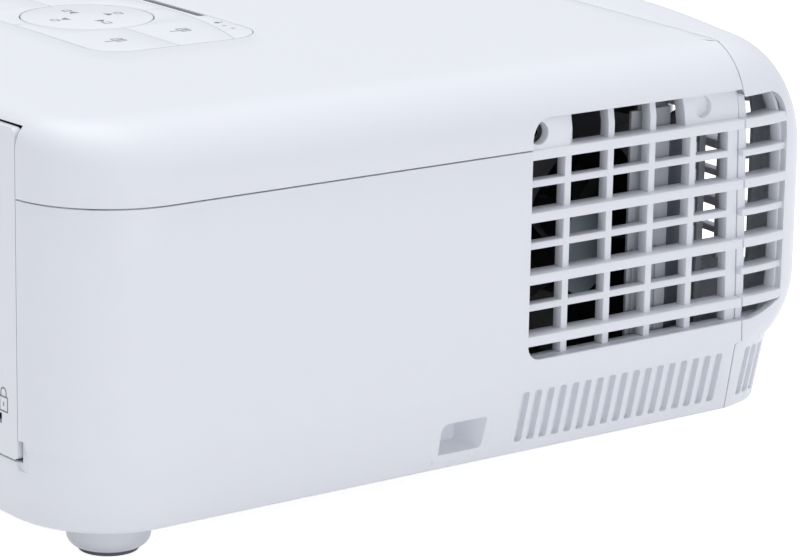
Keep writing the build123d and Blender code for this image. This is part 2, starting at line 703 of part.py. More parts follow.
def foot_pad(x, y):
    """The rubber pad pressed into a foot."""
    rim = rod(PAD_RADIUS - 0.2, (x, y, 0), (x, y, PAD_PROUD - 0.05))
    rim = fillet(rim.edges().filter_by(GeomType.CIRCLE).sort_by(Axis.Z)[0], 0.5)
    return rim + rod(PAD_RADIUS - 1.05, (x, y, PAD_PROUD - 0.2), (x, y, PAD_THICK - 0.05))


# ---- Connector panel ----
SOCKETS = {
    "vga": (-42.0, 70.0, 17.0, 9.0),
    "serial": (-4.0, 70.0, 17.0, 9.0),
    "hdmi_a": (27.0, 69.0, 15.2, 5.8),
    "hdmi_b": (49.0, 69.0, 15.2, 5.8),
    "usb": (70.0, 69.5, 13.4, 6.2),
    "video": (88.0, 70.0, 10.0, 10.0),
    "audio_a": (102.0, 70.0, 7.0, 7.0),
    "audio_b": (114.0, 70.0, 7.0, 7.0),
}
ROUND_SOCKETS = ("video", "audio_a", "audio_b")
INLET = (-108.0, 56.0, 27.0, 20.0)


def socket_face(place, spare):
    """The outline of one socket, on the rear plane."""
    x, z, width, height = place
    return Plane.XZ * Pos(x, z) * Rectangle(width + 2 * spare, height + 2 * spare)


def io_panel():
    """The rear connector panel with a hole for each socket, an air inlet and a lock slot."""
    face = Plane.XZ * Pos(0, (PANEL_LOW + PANEL_HIGH) / 2)
    face = face * RectangleRounded(PANEL_WIDTH, PANEL_HIGH - PANEL_LOW, 2.0)
    panel = Pos(0, PANEL_FACE - PANEL_THICK, 0) * extrude(face, amount=-PANEL_THICK)
    through = (PANEL_FACE - PANEL_THICK - 1, PANEL_FACE + 1)
    for name, place in SOCKETS.items():
        if name in ROUND_SOCKETS:
            x, z, width, _ = place
            panel -= rod(width / 2 + SOCKET_GAP, (x, through[0], z), (x, through[1], z))
        else:
            panel -= Pos(0, through[1], 0) * extrude(socket_face(place, SOCKET_GAP), amount=4)
    panel -= Pos(0, through[1], 0) * extrude(socket_face(INLET, SOCKET_GAP), amount=4)
    panel -= block((-129.5, -122.5), through, (39.0, 42.0))
    slots = [block((x, x + 1.8), through, (88, 106)) for x in range(-100, -30, 4)]
    return panel - slots


def shell_socket(place, depth, wall=0.8):
    """A metal-shelled socket with an open mouth, a floor and a tongue."""
    x, z, width, height = place
    back = PANEL_FACE - depth
    mouth_y = (PANEL_FACE - 8.5, PANEL_FACE + 1)
    body = block(span(x, width), (back, PANEL_FACE), span(z, height))
    return body - block(span(x, width - 2 * wall), mouth_y, span(z, height - 2 * wall))


def hdmi_sockets():
    """Two flat digital video sockets, standing on the main board."""
    sockets = []
    for name in ("hdmi_a", "hdmi_b"):
        x, z, _, height = SOCKETS[name]
        socket = shell_socket(SOCKETS[name], 12)
        tongue_z = (z - height / 2 + 1.0, z - 1.4)
        socket += block(span(x, 11.0), (PANEL_FACE - 10, PANEL_FACE - 2), tongue_z)
        sockets.append(socket + socket_leg(SOCKETS[name], 12))
    return Part() + sockets


def socket_leg(place, depth):
    """The foot of a socket, down to the board."""
    x, z, width, height = place
    leg_z = (BOARD_TOP + FACE_GAP, z - height / 2 + 0.01)
    return block(span(x, width), (PANEL_FACE - depth, PANEL_FACE - 4.5), leg_z)


def usb_socket():
    """The media socket for a memory stick."""
    x, z, _, height = SOCKETS["usb"]
    socket = shell_socket(SOCKETS["usb"], 14)
    tongue_z = (z + 0.8, z + height / 2 - 0.9)
    socket += block(span(x, 10.0), (PANEL_FACE - 10, PANEL_FACE - 1.5), tongue_z)
    return socket + socket_leg(SOCKETS["usb"], 14)


def d_socket(name):
    """A fifteen- or nine-way shell socket with two hexagonal posts beside it."""
    x, z, width, height = SOCKETS[name]
    body = block(span(x, width), (PANEL_FACE - 12, PANEL_FACE + 0.2), span(z, height))
    face = Plane.XZ * Pos(x, z) * Trapezoid(width - 1.6, height - 1.6, 80, rotation=180)
    body -= Pos(0, PANEL_FACE + 1, 0) * extrude(face, amount=2.2)
    pins = [
        rod(0.45, (x + 2.1 * i, PANEL_FACE - 1.4, z + 1.8 * j), (x + 2.1 * i, PANEL_FACE - 0.4, z + 1.8 * j))
        for i in range(-2, 3)
        for j in (-1, 0, 1)
    ]
    return body + pins + socket_leg(SOCKETS[name], 12)


def round_socket(name, bore):
    """A round socket in a square block."""
    x, z, width, _ = SOCKETS[name]
    body = rod(width / 2, (x, PANEL_FACE - 10, z), (x, PANEL_FACE + 0.3, z))
    block_z = (BOARD_TOP + FACE_GAP, z + width / 2)
    body += block(span(x, width), (PANEL_FACE - 14, PANEL_FACE - 4), block_z)
    return body - rod(bore, (x, PANEL_FACE - 9, z), (x, PANEL_FACE + 1, z))


def round_sockets():
    """The round video socket and the two audio sockets."""
    return Part() + [round_socket(name, 1.8) for name in ROUND_SOCKETS]


def d_sockets():
    """The two trapezoid sockets for a computer and for control."""
    return d_socket("vga") + d_socket("serial")


def ac_inlet():
    """The three-blade mains inlet."""
    x, z, width, height = INLET
    body = block(span(x, width), (PANEL_FACE - 20, PANEL_FACE + 0.1), span(z, height))
    face = Plane.XZ * Pos(x, z) * RectangleRounded(width - 4, height - 4, 2)
    body -= Pos(0, PANEL_FACE + 1, 0) * extrude(face, amount=17)
    blades = [(x - 7, z - 2), (x + 7, z - 2), (x, z + 2)]
    for blade_x, blade_z in blades:
        body += block(span(blade_x, 2.0), (PANEL_FACE - 16.5, PANEL_FACE - 6), span(blade_z, 4.0))
    return body


# ---- Keypad ----
def keypad_outline(spare=0.0):
    """The rounded plate that the keys fill."""
    width, depth = PAD_PLATE
    shape = RectangleRounded(width + 2 * spare, depth + 2 * spare, PAD_PLATE_CORNER + spare)
    return Pos(*KEYPAD_MIDDLE, 0) * shape


def strip_region(spare):
    """The part of the plate in front of the curved divider."""
    x = PAD_CENTRE[0]
    half = PAD_PLATE[0] / 2 + 6
    middle = KEYPAD_FRONT + STRIP_MIDDLE + spare
    end = middle + STRIP_ARC_RADIUS - sqrt(STRIP_ARC_RADIUS ** 2 - half ** 2)
    front = KEYPAD_FRONT - 10
    lines = [
        ThreePointArc((x - half, end), (x, middle), (x + half, end)),
        Line((x + half, end), (x + half, front)),
        Line((x + half, front), (x - half, front)),
        Line((x - half, front), (x - half, end)),
    ]
    return make_face(lines)


def upright(face):
    """A tall prism of a plan face, through the top of the case."""
    return extrude(Pos(0, 0, HEIGHT - 10) * face, amount=20)


def status_strip():
    """The fixed front strip of the keypad with its indicator holes."""
    plate = skin(0, STRIP_THICK) & upright(keypad_outline() & strip_region(-KEY_GAP / 2))
    plate -= upright(window_face(0.1))
    y = KEYPAD_FRONT + STRIP_MIDDLE
    first = PAD_CENTRE[0] - KEY_STEM_REACH[0]
    return plate - [rod(0.8, (first + dx, y, 0), (first + dx, y, FAR)) for dx in (0, STRIP_LAMP_PITCH)]


def window_face(spare):
    """The long dark window in the front edge of the keypad."""
    length, width = STRIP_WINDOW
    shape = RectangleRounded(length + 2 * spare, width + 2 * spare, 0.9 + spare)
    return Pos(PAD_CENTRE[0], KEYPAD_FRONT + width / 2) * shape


def key(side_x, side_y):
    """One corner key of the plate: side_x and side_y are -1 or 1."""
    x, y = PAD_CENTRE
    half_gap = KEY_GAP / 2
    far_x = x + side_x * FAR
    far_y = y + side_y * FAR
    quarter = Polygon(
        (x + side_x * half_gap, y + side_y * half_gap),
        (far_x, y + side_y * half_gap),
        (far_x, far_y),
        (x + side_x * half_gap, far_y),
        align=None,
    )
    area = (keypad_outline() & quarter) - strip_region(KEY_GAP / 2)
    area -= Pos(x, y) * Circle(DPAD_RADIUS + DPAD_GAP)
    plate = skin(0, KEY_THICK) & upright(area)
    stem_x, stem_y = key_stem(side_x, side_y)
    bottom = KEYPAD_BOARD_TOP + 1.4
    stem = rod(KEY_STEM, (stem_x, stem_y, bottom), (stem_x, stem_y, HEIGHT)) & form(KEY_THICK / 2)
    return plate + stem


def key_stem(side_x, side_y):
    """The plan place of a corner key's stem."""
    return (PAD_CENTRE[0] + side_x * KEY_STEM_REACH[0], PAD_CENTRE[1] + side_y * KEY_STEM_REACH[1])


def dpad():
    """The round four-way pad and its stem."""
    x, y = PAD_CENTRE
    disc = skin(0, DPAD_THICK) & rod(DPAD_RADIUS, (x, y, HEIGHT - 10), (x, y, HEIGHT + 5))
    stem = rod(2.5, (x, y, KEYPAD_BOARD_TOP + 1.3), (x, y, HEIGHT)) & form(DPAD_THICK / 2)
    return disc + stem


def dpad_ring():
    """The tilting ring on which the pad rocks the other way."""
    x, y = PAD_CENTRE
    return tube(9.0, 4.0, (x, y, DPAD_PIVOT_Z - 0.4), (x, y, DPAD_PIVOT_Z + 0.4))


def keypad_base():
    """The tray under the keys: guides for their stems, a well for the pad, posts for the board."""
    x, y = PAD_CENTRE
    floor = KEY_THICK + 1.2
    deep = floor + KEYPAD_SHEET
    z = (HEIGHT - 12, HEIGHT)
    base = skin(floor, deep) & upright(keypad_outline(4.0))
    base += skin(WALL + 0.1, floor + 0.1) & upright(keypad_outline(4.0) - keypad_outline(2 * KEY_GAP))
    well = DPAD_RADIUS + 1.5
    base -= rod(well, (x, y, z[0]), (x, y, z[1]))
    well_floor = DPAD_WELL + KEYPAD_SHEET
    base += skin(floor, well_floor) & tube(well + 1.2, well, (x, y, z[0]), (x, y, z[1]))
    base += skin(DPAD_WELL, well_floor) & rod(well + 0.1, (x, y, z[0]), (x, y, z[1]))
    base -= rod(3.6, (x, y, z[0]), (x, y, z[1]))
    for side_x in (RIGHT, LEFT):
        for side_y in (FRONT, REAR):
            stem_x, stem_y = key_stem(side_x, side_y)
            base -= rod(KEY_STEM + FIT_GAP, (stem_x, stem_y, z[0]), (stem_x, stem_y, z[1]))
            leg_x, leg_y = board_corner(side_x, side_y, 3.0)
            leg = rod(2.0, (leg_x, leg_y, KEYPAD_BOARD_TOP + FACE_GAP), (leg_x, leg_y, HEIGHT))
            base += leg & form(floor + 0.8)
    return base


def board_corner(side_x, side_y, inset):
    """A corner of the keypad board, or a place near it."""
    half = PAD_PLATE[0] / 2 - 1.0 - inset
    return (KEYPAD_MIDDLE[0] + side_x * half, KEYPAD_MIDDLE[1] + side_y * (PAD_PLATE[1] / 2 - 4.0 - inset))


def keypad_board():
    """The keypad's board with a switch under each key."""
    x, y = PAD_CENTRE
    low = KEYPAD_BOARD_TOP - 1.2
    first = board_corner(RIGHT, FRONT, 0.0)
    last = board_corner(LEFT, REAR, 0.0)
    board = block((first[0], last[0]), (first[1], last[1]), (low, KEYPAD_BOARD_TOP))
    for side_x in (RIGHT, LEFT):
        for side_y in (FRONT, REAR):
            stem_x, stem_y = key_stem(side_x, side_y)
            board += rod(2.4, (stem_x, stem_y, low), (stem_x, stem_y, KEYPAD_BOARD_TOP + 0.7))
    domes = ((x + 12, y), (x - 12, y), (x, y + 12), (x, y - 12))
    return board + [rod(1.4, (*at, low), (*at, KEYPAD_BOARD_TOP + 0.5)) for at in domes]


# ---- Lens ----
def lens_axis(radius, y_low, y_high):
    """A cylinder on the lens axis."""
    return rod(radius, (LENS_X, y_low, LENS_Z), (LENS_X, y_high, LENS_Z))


def lens_barrel():
    """The fixed lens tube with its ring seats and mounting flange."""
    barrel = lens_axis(BARREL_RADIUS, LENS_FRONT, BARREL_END)
    flange_z = (ENGINE_Z[0] + 2, ENGINE_Z[1] - 0.1)
    flange = block((LENS_X - 36, LENS_X + 36), (BARREL_END - FLANGE_THICK, BARREL_END), flange_z)
    barrel += flange
    behind_ring = RING_WIDTH + RING_GAP
    for y in (FOCUS_Y - RING_GAP - COLLAR_WIDTH, FOCUS_Y + behind_ring, ZOOM_Y + behind_ring):
        barrel += lens_axis(BARREL_RADIUS + COLLAR_HEIGHT, y, y + COLLAR_WIDTH)
    barrel -= lens_axis(BARREL_BORE, LENS_FRONT - 1, LENS_FRONT + 30)
    barrel -= lens_axis(BARREL_BORE - GLASS_STEP, LENS_FRONT - 1, BARREL_END + 1)
    for x in (LENS_X - 31, LENS_X + 31):
        for z in (flange_z[0] + 5, flange_z[1] - 5):
            barrel -= rod(SCREW_RADIUS + 0.2, (x, BARREL_END - 5, z), (x, BARREL_END + 1, z))
    return barrel


def knurled_ring(y):
    """A turning ring on the lens barrel with grip ridges."""
    ring = lens_axis(RING_RADIUS - 0.7, y, y + RING_WIDTH)
    ridge = block((RING_RADIUS - 1.5, RING_RADIUS), (y + 1, y + RING_WIDTH - 1), (-0.9, 0.9))
    place = Pos(LENS_X, 0, LENS_Z)
    ring += [place * Rot(0, turn * 10, 0) * ridge for turn in range(36)]
    return ring - lens_axis(BARREL_RADIUS + RUNNING_FIT, y - 1, y + RING_WIDTH + 1)


def focus_cell():
    """The sliding cell that carries the front glass."""
    y = LENS_FRONT + 2.0
    cell = lens_axis(BARREL_BORE - RUNNING_FIT, y, y + 16)
    cell -= lens_axis(BARREL_BORE - 3.4, y - 1, y + 6)
    return cell - lens_axis(BARREL_BORE - 6.0, y + 5, y + 17)


def glass(radius, y, bulge_front, bulge_back, edge):
    """A lens on the lens axis: bulges are the heights of its two domes, edge its rim's thickness."""
    lines = [
        Line((0, -bulge_front), (0, edge + bulge_back)),
        ThreePointArc((0, edge + bulge_back), dome_point(radius, edge, bulge_back), (radius, edge)),
        Line((radius, edge), (radius, 0)),
        ThreePointArc((radius, 0), dome_point(radius, 0, -bulge_front), (0, -bulge_front)),
    ]
    solid = revolve(make_face(lines), Axis.Y)
    return Pos(LENS_X, y, LENS_Z) * solid


def dome_point(radius, base, height):
    """A point half-way out on a dome of a given height."""
    sphere = (radius * radius + height * height) / (2 * abs(height))
    drop = sphere - sqrt(sphere * sphere - radius * radius / 4)
    return (radius / 2, base + height - drop * height / abs(height))


def front_glass():
    """The large front glass in the focus cell."""
    return glass(BARREL_BORE - 3.5, LENS_FRONT + 5.5, 2.6, -0.8, 2.3)


# ---- Light path ----
def inner_glass():
    """The rear lens, the integrator rod and the two relay lenses."""
    rear_lens = glass(BARREL_BORE - GLASS_STEP - RUNNING_FIT, BARREL_END - 14, 1.6, 2.0, 3.0)
    integrator = block(
        (WHEEL_X + 7, 10),
        (LIGHT_Y - ROD_CELL[0], LIGHT_Y + ROD_CELL[0]),
        (LIGHT_Z - ROD_CELL[1], LIGHT_Z + ROD_CELL[1]),
    )
    lines = [
        Line((0, -2.6), (0, 2.6)),
        ThreePointArc((0, 2.6), dome_point(RELAY_RADIUS, 1.0, 1.6), (RELAY_RADIUS, 1.0)),
        Line((RELAY_RADIUS, 1.0), (RELAY_RADIUS, -1.0)),
        ThreePointArc((RELAY_RADIUS, -1.0), dome_point(RELAY_RADIUS, -1.0, -1.6), (0, -2.6)),
    ]
    relay = Rot(0, 0, 90) * revolve(make_face(lines), Axis.Y)
    return rear_lens + integrator + [Pos(x, LIGHT_Y, LIGHT_Z) * relay for x in (21.0, 32.0)]


def engine_housing():
    """The cast engine body: an open box with a square light arm and a round relay tube."""
    wall = ENGINE_WALL
    inner_x = (ENGINE_X[0] + wall, ENGINE_X[1] - wall)
    inner_y = (ENGINE_Y[0] + wall, ENGINE_Y[1] - wall)
    body = block(ENGINE_X, ENGINE_Y, (ENGINE_Z[0], ENGINE_Z[1] - wall))
    arm_end = WHEEL_X + 6.0
    body += block((arm_end, 14), (LIGHT_Y - 7, LIGHT_Y + 7), (LIGHT_Z - 7, LIGHT_Z + 7))
    body += rod(15, (12, LIGHT_Y, LIGHT_Z), (ENGINE_X[0] + 1, LIGHT_Y, LIGHT_Z))
    body -= block(inner_x, inner_y, (ENGINE_Z[0] + wall, ENGINE_Z[1]))
    body -= block((arm_end - 1, 15), (LIGHT_Y - 4, LIGHT_Y + 4), (LIGHT_Z - 3.2, LIGHT_Z + 3.2))
    body -= rod(12.5, (15, LIGHT_Y, LIGHT_Z), (ENGINE_X[0] + wall + 1, LIGHT_Y, LIGHT_Z))
    body -= lens_axis(18, ENGINE_Y[0] - 1, inner_y[0] + 1) & block(ALL, ALL, (0, ENGINE_Z[1] - wall - 2))
    body -= block((LENS_X - 13, LENS_X + 13), (inner_y[1] - 1, ENGINE_Y[1] + 1), (LIGHT_Z - 9, LIGHT_Z + 9))
    body += [rod(5, (x, y, FLOOR_Z + 0.02), (x, y, ENGINE_Z[0] + 1)) for x, y in ENGINE_FEET]
    bracket = block((arm_end, arm_end + 3), span(LIGHT_Y, 14.0), (LIGHT_Z + 6, LIGHT_Z + WHEEL_LIFT + 8))
    return body + bracket


ENGINE_FEET = ((46.0, -39.0), (122.0, -39.0), (122.0, 16.0), (46.0, 16.0))


def engine_cover():
    """The lid of the engine body."""
    lid = block(ENGINE_X, ENGINE_Y, (ENGINE_Z[1] - ENGINE_WALL + 0.02, ENGINE_Z[1]))
    return lid - [rod(1.6, (x, y, 0), (x, y, FAR)) for x, y in ENGINE_FEET]


def chip_board():
    """The upright board behind the imaging chip."""
    board = block((LENS_X - 34, LENS_X + 34), (CHIP_BOARD_Y, CHIP_BOARD_Y + BOARD_THICK), (38, ENGINE_Z[1]))
    chips = [block((x, x + 7), (CHIP_BOARD_Y + 1, CHIP_BOARD_Y + 3), (44, 52)) for x in (54, 64)]
    return board + chips


def chip_heatsink():
    """The finned cooler behind the chip board."""
    low = CHIP_BOARD_Y + BOARD_THICK + FACE_GAP
    x = (LENS_X - 8, LENS_X + 32)
    sink = block(x, (low, low + 3), (42, ENGINE_Z[1] - 2))
    starts = [x[0] + 5.4 * k for k in range(8)]
    return sink + [block((at, at + 1.4), (low + 2, low + 20), (42, ENGINE_Z[1] - 2)) for at in starts]


def lamp_housing():
    """The lamp module's frame, open to the light arm and vented on its sides."""
    y = (LIGHT_Y - LAMP_HALF, LIGHT_Y + LAMP_HALF)
    z = (LIGHT_Z - LAMP_HALF, LIGHT_Z + LAMP_HALF)
    frame = block(LAMP_X, y, z)
    frame -= block((LAMP_X[0] + 2, LAMP_X[1] - 2), (y[0] + 2, y[1] - 2), (z[0] + 2, z[1] - 2))
    frame -= rod(26, (LAMP_X[1] - 5, LIGHT_Y, LIGHT_Z), (LAMP_X[1] + 1, LIGHT_Y, LIGHT_Z))
    vents = [block((x, x + 3), (y[0] - 1, y[1] + 1), (z[0] + 14, z[1] - 14)) for x in range(-98, -74, 6)]
    frame -= vents
    frame -= block((LAMP_X[0] - 1, LAMP_X[0] + 3), (LIGHT_Y - 20, LIGHT_Y + 20), (LIGHT_Z - 20, LIGHT_Z + 20))
    seat = tube(32.5, 30.2, (LAMP_X[1] - 9, LIGHT_Y, LIGHT_Z), (LAMP_X[1] - 1.9, LIGHT_Y, LIGHT_Z))
    return frame + (seat & block(ALL, (y[0] + 1, y[1] - 1), (z[0] + 1, z[1] - 1)))


def reflector():
    """The bowl-shaped lamp reflector with its neck."""
    depth = 32.0
    mouth = 30.0
    neck = 6.5
    outer = [(0, neck), (4, 15), (12, 23), (depth, mouth)]
    inner = [(0, neck - 2), (4, 12.6), (12, 20.8), (depth, mouth - 2)]
    face = make_face([
        Spline(*outer),
        Line(outer[-1], inner[-1]),
        Spline(*reversed(inner)),
        Line(inner[0], (-9, neck - 2)),
        Line((-9, neck - 2), (-9, neck)),
        Line((-9, neck), outer[0]),
    ])
    bowl = revolve(face, Axis.X)
    return Pos(LAMP_X[1] - 3 - depth, LIGHT_Y, LIGHT_Z) * bowl


def lamp_burner():
    """The quartz arc tube on the lamp's axis."""
    base = LAMP_X[1] - 44
    at = (LIGHT_Y, LIGHT_Z)
    burner = rod(4.2, (base, *at), (base + 10, *at)) + rod(2.2, (base + 9, *at), (base + 38, *at))
    return burner + Pos(base + 20, LIGHT_Y, LIGHT_Z) * Sphere(5.0)


def colour_wheel():
    """The spinning wheel of colour segments on its hub."""
    z = LIGHT_Z + WHEEL_LIFT
    disc = rod(WHEEL_RADIUS, (WHEEL_X, LIGHT_Y, z), (WHEEL_X + 1, LIGHT_Y, z))
    hub = rod(7.5, (WHEEL_X - 1.5, LIGHT_Y, z), (WHEEL_X + 2.5, LIGHT_Y, z))
    return (disc + hub) - rod(1.0 + RUNNING_FIT, (WHEEL_X - 3, LIGHT_Y, z), (WHEEL_X + 4, LIGHT_Y, z))


def wheel_motor():
    """The small motor that carries the colour wheel on its shaft."""
    z = LIGHT_Z + WHEEL_LIFT
    can = rod(6.5, (WHEEL_X + 3.0, LIGHT_Y, z), (WHEEL_X + 5.98, LIGHT_Y, z))
    return can + rod(1.0, (WHEEL_X - 2, LIGHT_Y, z), (WHEEL_X + 4, LIGHT_Y, z))


# ---- Disc player ----
DISC_X = DRIVE_X[1] - DISC_FROM_FRONT
DISC_Y = (DRIVE_Y[0] + DRIVE_Y[1]) / 2
TRAY_Y = (DRIVE_Y[0] + DRIVE_SHEET + RAIL_WIDTH + 0.8, DRIVE_Y[1] - DRIVE_SHEET - RAIL_WIDTH - 0.8)
TRAY_Z = (DRIVE_Z[0] + 1.4, DRIVE_Z[0] + 9.0)
TRAY_X = (DRIVE_X[0] + 3, DRIVE_X[1] + 0.3)
FASCIA_Y = (DRIVE_Y[0] - 0.8, DRIVE_Y[1] + 0.8)
FASCIA_Z = (DRIVE_Z[0] - 0.4, DRIVE_Z[1] + 0.4)
FASCIA_X = (TRAY_X[1] + FACE_GAP, HALF_WIDTH - 0.1)
FASCIA_MIDDLE = sum(FASCIA_Z) / 2
EJECT_Y = DISC_Y + 28.0
BUTTON_SPAN_Y = (EJECT_Y - 7.0 - FIT_GAP, EJECT_Y + 7.0 + FIT_GAP)
BUTTON_SPAN_Z = (FASCIA_MIDDLE - 2.0 - FIT_GAP, FASCIA_MIDDLE + 2.0 + FIT_GAP)
PICKUP_Z = TRAY_Z[0] + PAN_SHEET
ROD_Z = PICKUP_Z + 1.6
SLED_Y = (DISC_Y + SLED_START, DISC_Y + SLED_START + SLED_LENGTH)
GUIDE_Y = (DISC_Y + 8.6, DISC_Y + 57.4)
SCREW_END_Y = (DISC_Y + 9.8, DISC_Y + 57.0)


def tray_slot():
    """The slot in the left wall for the tray's front."""
    y = (FASCIA_Y[0] - FIT_GAP, FASCIA_Y[1] + FIT_GAP)
    z = (FASCIA_Z[0] - FIT_GAP, FASCIA_Z[1] + FIT_GAP)
    return block((HALF_WIDTH - 10, FAR), y, z)


def drive_housing():
    """The flat sheet-metal housing of the disc drive, open towards the tray slot."""
    sheet = DRIVE_SHEET
    shell = block(DRIVE_X, DRIVE_Y, DRIVE_Z)
    inner_y = (DRIVE_Y[0] + sheet, DRIVE_Y[1] - sheet)
    shell -= block((DRIVE_X[0] + sheet, FAR), inner_y, (DRIVE_Z[0] + sheet, DRIVE_Z[1] - sheet))
    relief = block((DRIVE_X[1] - 14, DRIVE_X[1] - 4), (DISC_Y - 30, DISC_Y + 30), (DRIVE_Z[1] - 2, FAR))
    return shell - relief


def drive_bracket():
    """The plate that carries the drive on three posts."""
    z = (BRACKET_TOP - BRACKET_SHEET + FACE_GAP, BRACKET_TOP)
    x = (BRACKET_POSTS[2][0] - 4, BRACKET_POSTS[0][0] + 6)
    y = (BRACKET_POSTS[0][1] - 5, BRACKET_POSTS[1][1] + 5)
    border = BRACKET_BORDER
    plate = block(x, y, z)
    plate -= block((x[0] + border, x[1] - border), (y[0] + border - 3, y[1] - border + 3), (0, FAR))
    holes = [rod(SCREW_RADIUS + 0.2, (x, y, 0), (x, y, FAR)) for x, y in BRACKET_POSTS]
    sinks = [rod(SCREW_HEAD + 0.2, (x, y, z[1] - 0.3), (x, y, FAR)) for x, y in BRACKET_POSTS]
    return plate - holes - sinks


def disc_tray():
    """The sliding tray: disc well, spindle opening, pickup opening and underframe."""
    plate_z = (TRAY_Z[1] - 3.4, TRAY_Z[1])
    tray = block(TRAY_X, TRAY_Y, plate_z)
    well = (DISC_X, DISC_Y)
    tray -= rod(DISC_WELL, (*well, TRAY_Z[1] - 1.5), (*well, FAR)) & block((0, DRIVE_X[1] - 1.5), ALL, ALL)
    tray -= rod(16, (*well, 0), (*well, FAR))
    tray -= block((DISC_X - 26, DISC_X + 26), (DISC_Y + 2, DISC_Y + 57.6), (0, FAR))
    for y in (TRAY_Y[0], TRAY_Y[1] - 2):
        tray += block(TRAY_X, (y, y + 2), (TRAY_Z[0] + PAN_SHEET + 0.02, TRAY_Z[1] - 1))
    return tray


def tray_chassis():
    """The metal pan under the tray, which carries the disc motor and the laser sled."""
    z = (TRAY_Z[0], TRAY_Z[0] + PAN_SHEET)
    pan = block(TRAY_X, TRAY_Y, z)
    places = [(x, y) for x in (50, 140) for y in (DISC_Y - 40, DISC_Y + 50)]
    return pan + [block((x, x + 8), (y, y + 3), (z[1] - 0.1, TRAY_Z[1] - 3.42)) for x, y in places]


def tray_rails():
    """The two telescopic rails between housing and tray."""
    x = (DRIVE_X[0] + 4, DRIVE_X[1] - 2)
    z = (DRIVE_Z[0] + 3, DRIVE_Z[0] + 8)
    low = DRIVE_Y[0] + DRIVE_SHEET + 0.4
    high = DRIVE_Y[1] - DRIVE_SHEET - 0.4
    return block(x, (low, low + RAIL_WIDTH), z) + block(x, (high - RAIL_WIDTH, high), z)


def tray_front():
    """The white front of the tray, with openings for the button, the lamp and the release pin."""
    face = Plane.YZ * Pos(DISC_Y, FASCIA_MIDDLE)
    face = face * RectangleRounded(FASCIA_Y[1] - FASCIA_Y[0], FASCIA_Z[1] - FASCIA_Z[0], 1.2)
    front = Pos(FASCIA_X[0], 0, 0) * extrude(face, amount=FASCIA_X[1] - FASCIA_X[0])
    front -= block((0, FAR), BUTTON_SPAN_Y, BUTTON_SPAN_Z)
    release, lamp = EJECT_Y + 22, EJECT_Y + 12
    front -= rod(0.6, (0, release, FASCIA_MIDDLE), (FAR, release, FASCIA_MIDDLE))
    return front - rod(1.0, (0, lamp, FASCIA_MIDDLE), (FAR, lamp, FASCIA_MIDDLE))


def eject_button():
    """The eject button in the tray's front."""
    z = (BUTTON_SPAN_Z[0] + FIT_GAP, BUTTON_SPAN_Z[1] - FIT_GAP)
    y = (BUTTON_SPAN_Y[0] + FIT_GAP, BUTTON_SPAN_Y[1] - FIT_GAP)
    return block((FASCIA_X[0] + EJECT_TRAVEL + 0.3, FASCIA_X[1]), y, z)


def spindle_motor():
    """The flat disc motor, fixed under the tray's opening."""
    stator = rod(14.5, (DISC_X, DISC_Y, PICKUP_Z + 0.02), (DISC_X, DISC_Y, PICKUP_Z + 2.6))
    return stator + rod(1.2, (DISC_X, DISC_Y, PICKUP_Z + 2), (DISC_X, DISC_Y, PICKUP_Z + 7.0))


def turntable():
    """The turning hub that the disc snaps on to."""
    low = PICKUP_Z + 3.0
    table = rod(14.0, (DISC_X, DISC_Y, low), (DISC_X, DISC_Y, low + 2.6))
    boss = rod(7.3, (DISC_X, DISC_Y, low + 2.5), (DISC_X, DISC_Y, low + 4.4))
    boss = fillet(boss.edges().filter_by(GeomType.CIRCLE).sort_by(Axis.Z)[-1], 0.8)
    return table + boss - rod(1.2 + RUNNING_FIT, (DISC_X, DISC_Y, 0), (DISC_X, DISC_Y, FAR))


def guide_rods():
    """The two polished rods of the laser sled with their end clips, and the stepper motor between them."""
    rods = Part()
    for side in (RIGHT, LEFT):
        x = DISC_X + side * ROD_X
        rods += rod(ROD_RADIUS, (x, GUIDE_Y[0], ROD_Z), (x, GUIDE_Y[1], ROD_Z))
        for y in (GUIDE_Y[0], GUIDE_Y[1] - 1.5):
            rods += block((x - 1.6, x + 1.6), (y, y + 1.5), (PICKUP_Z + 0.02, ROD_Z + 1.3))
    x = DISC_X + SCREW_OFFSET
    motor_y = (SCREW_END_Y[0] + 1 - STEPPER_LENGTH, SCREW_END_Y[0] + 1)
    motor = block((x - 3.2, x + 3.2), motor_y, (PICKUP_Z + 0.02, ROD_Z + 1.8))
    motor -= rod(LEAD_RADIUS + RUNNING_FIT, (x, SCREW_END_Y[0] - 0.3, ROD_Z), (x, FAR, ROD_Z))
    return rods + motor


def laser_sled():
    """The sliding pickup carriage with its lens."""
    sled = block((DISC_X - 14, DISC_X + 14), SLED_Y, (PICKUP_Z + 0.4, PICKUP_Z + 3.8))
    for side in (RIGHT, LEFT):
        ear_x = DISC_X + side * ROD_X
        ears = block((min(ear_x, DISC_X + side * 12) - 2.2, max(ear_x, DISC_X + side * 12) + 2.2),
                     (SLED_Y[0] + 2, SLED_Y[1] - 2), (PICKUP_Z + 0.3, PICKUP_Z + 2.9))
        sled += ears
    for side in (RIGHT, LEFT):
        ear_x = DISC_X + side * ROD_X
        sled -= rod(ROD_RADIUS + RUNNING_FIT, (ear_x, 0, ROD_Z), (ear_x, FAR, ROD_Z))
    middle = sum(SLED_Y) / 2
    lens_top = PICKUP_Z + 4.8
    sled += rod(3.2, (DISC_X, middle, PICKUP_Z + 3), (DISC_X, middle, lens_top))
    screw_x = DISC_X + SCREW_OFFSET
    sled += block((DISC_X + ROD_X + 1, screw_x + 2.2), span(middle, 5.0), (PICKUP_Z + 0.3, PICKUP_Z + 2.9))
    return sled - rod(LEAD_RADIUS + FIT_GAP / 3, (screw_x, 0, ROD_Z), (screw_x, FAR, ROD_Z))


def lead_screw():
    """The sled's lead screw."""
    x = DISC_X + SCREW_OFFSET
    return rod(LEAD_RADIUS, (x, SCREW_END_Y[0], ROD_Z), (x, SCREW_END_Y[1], ROD_Z))


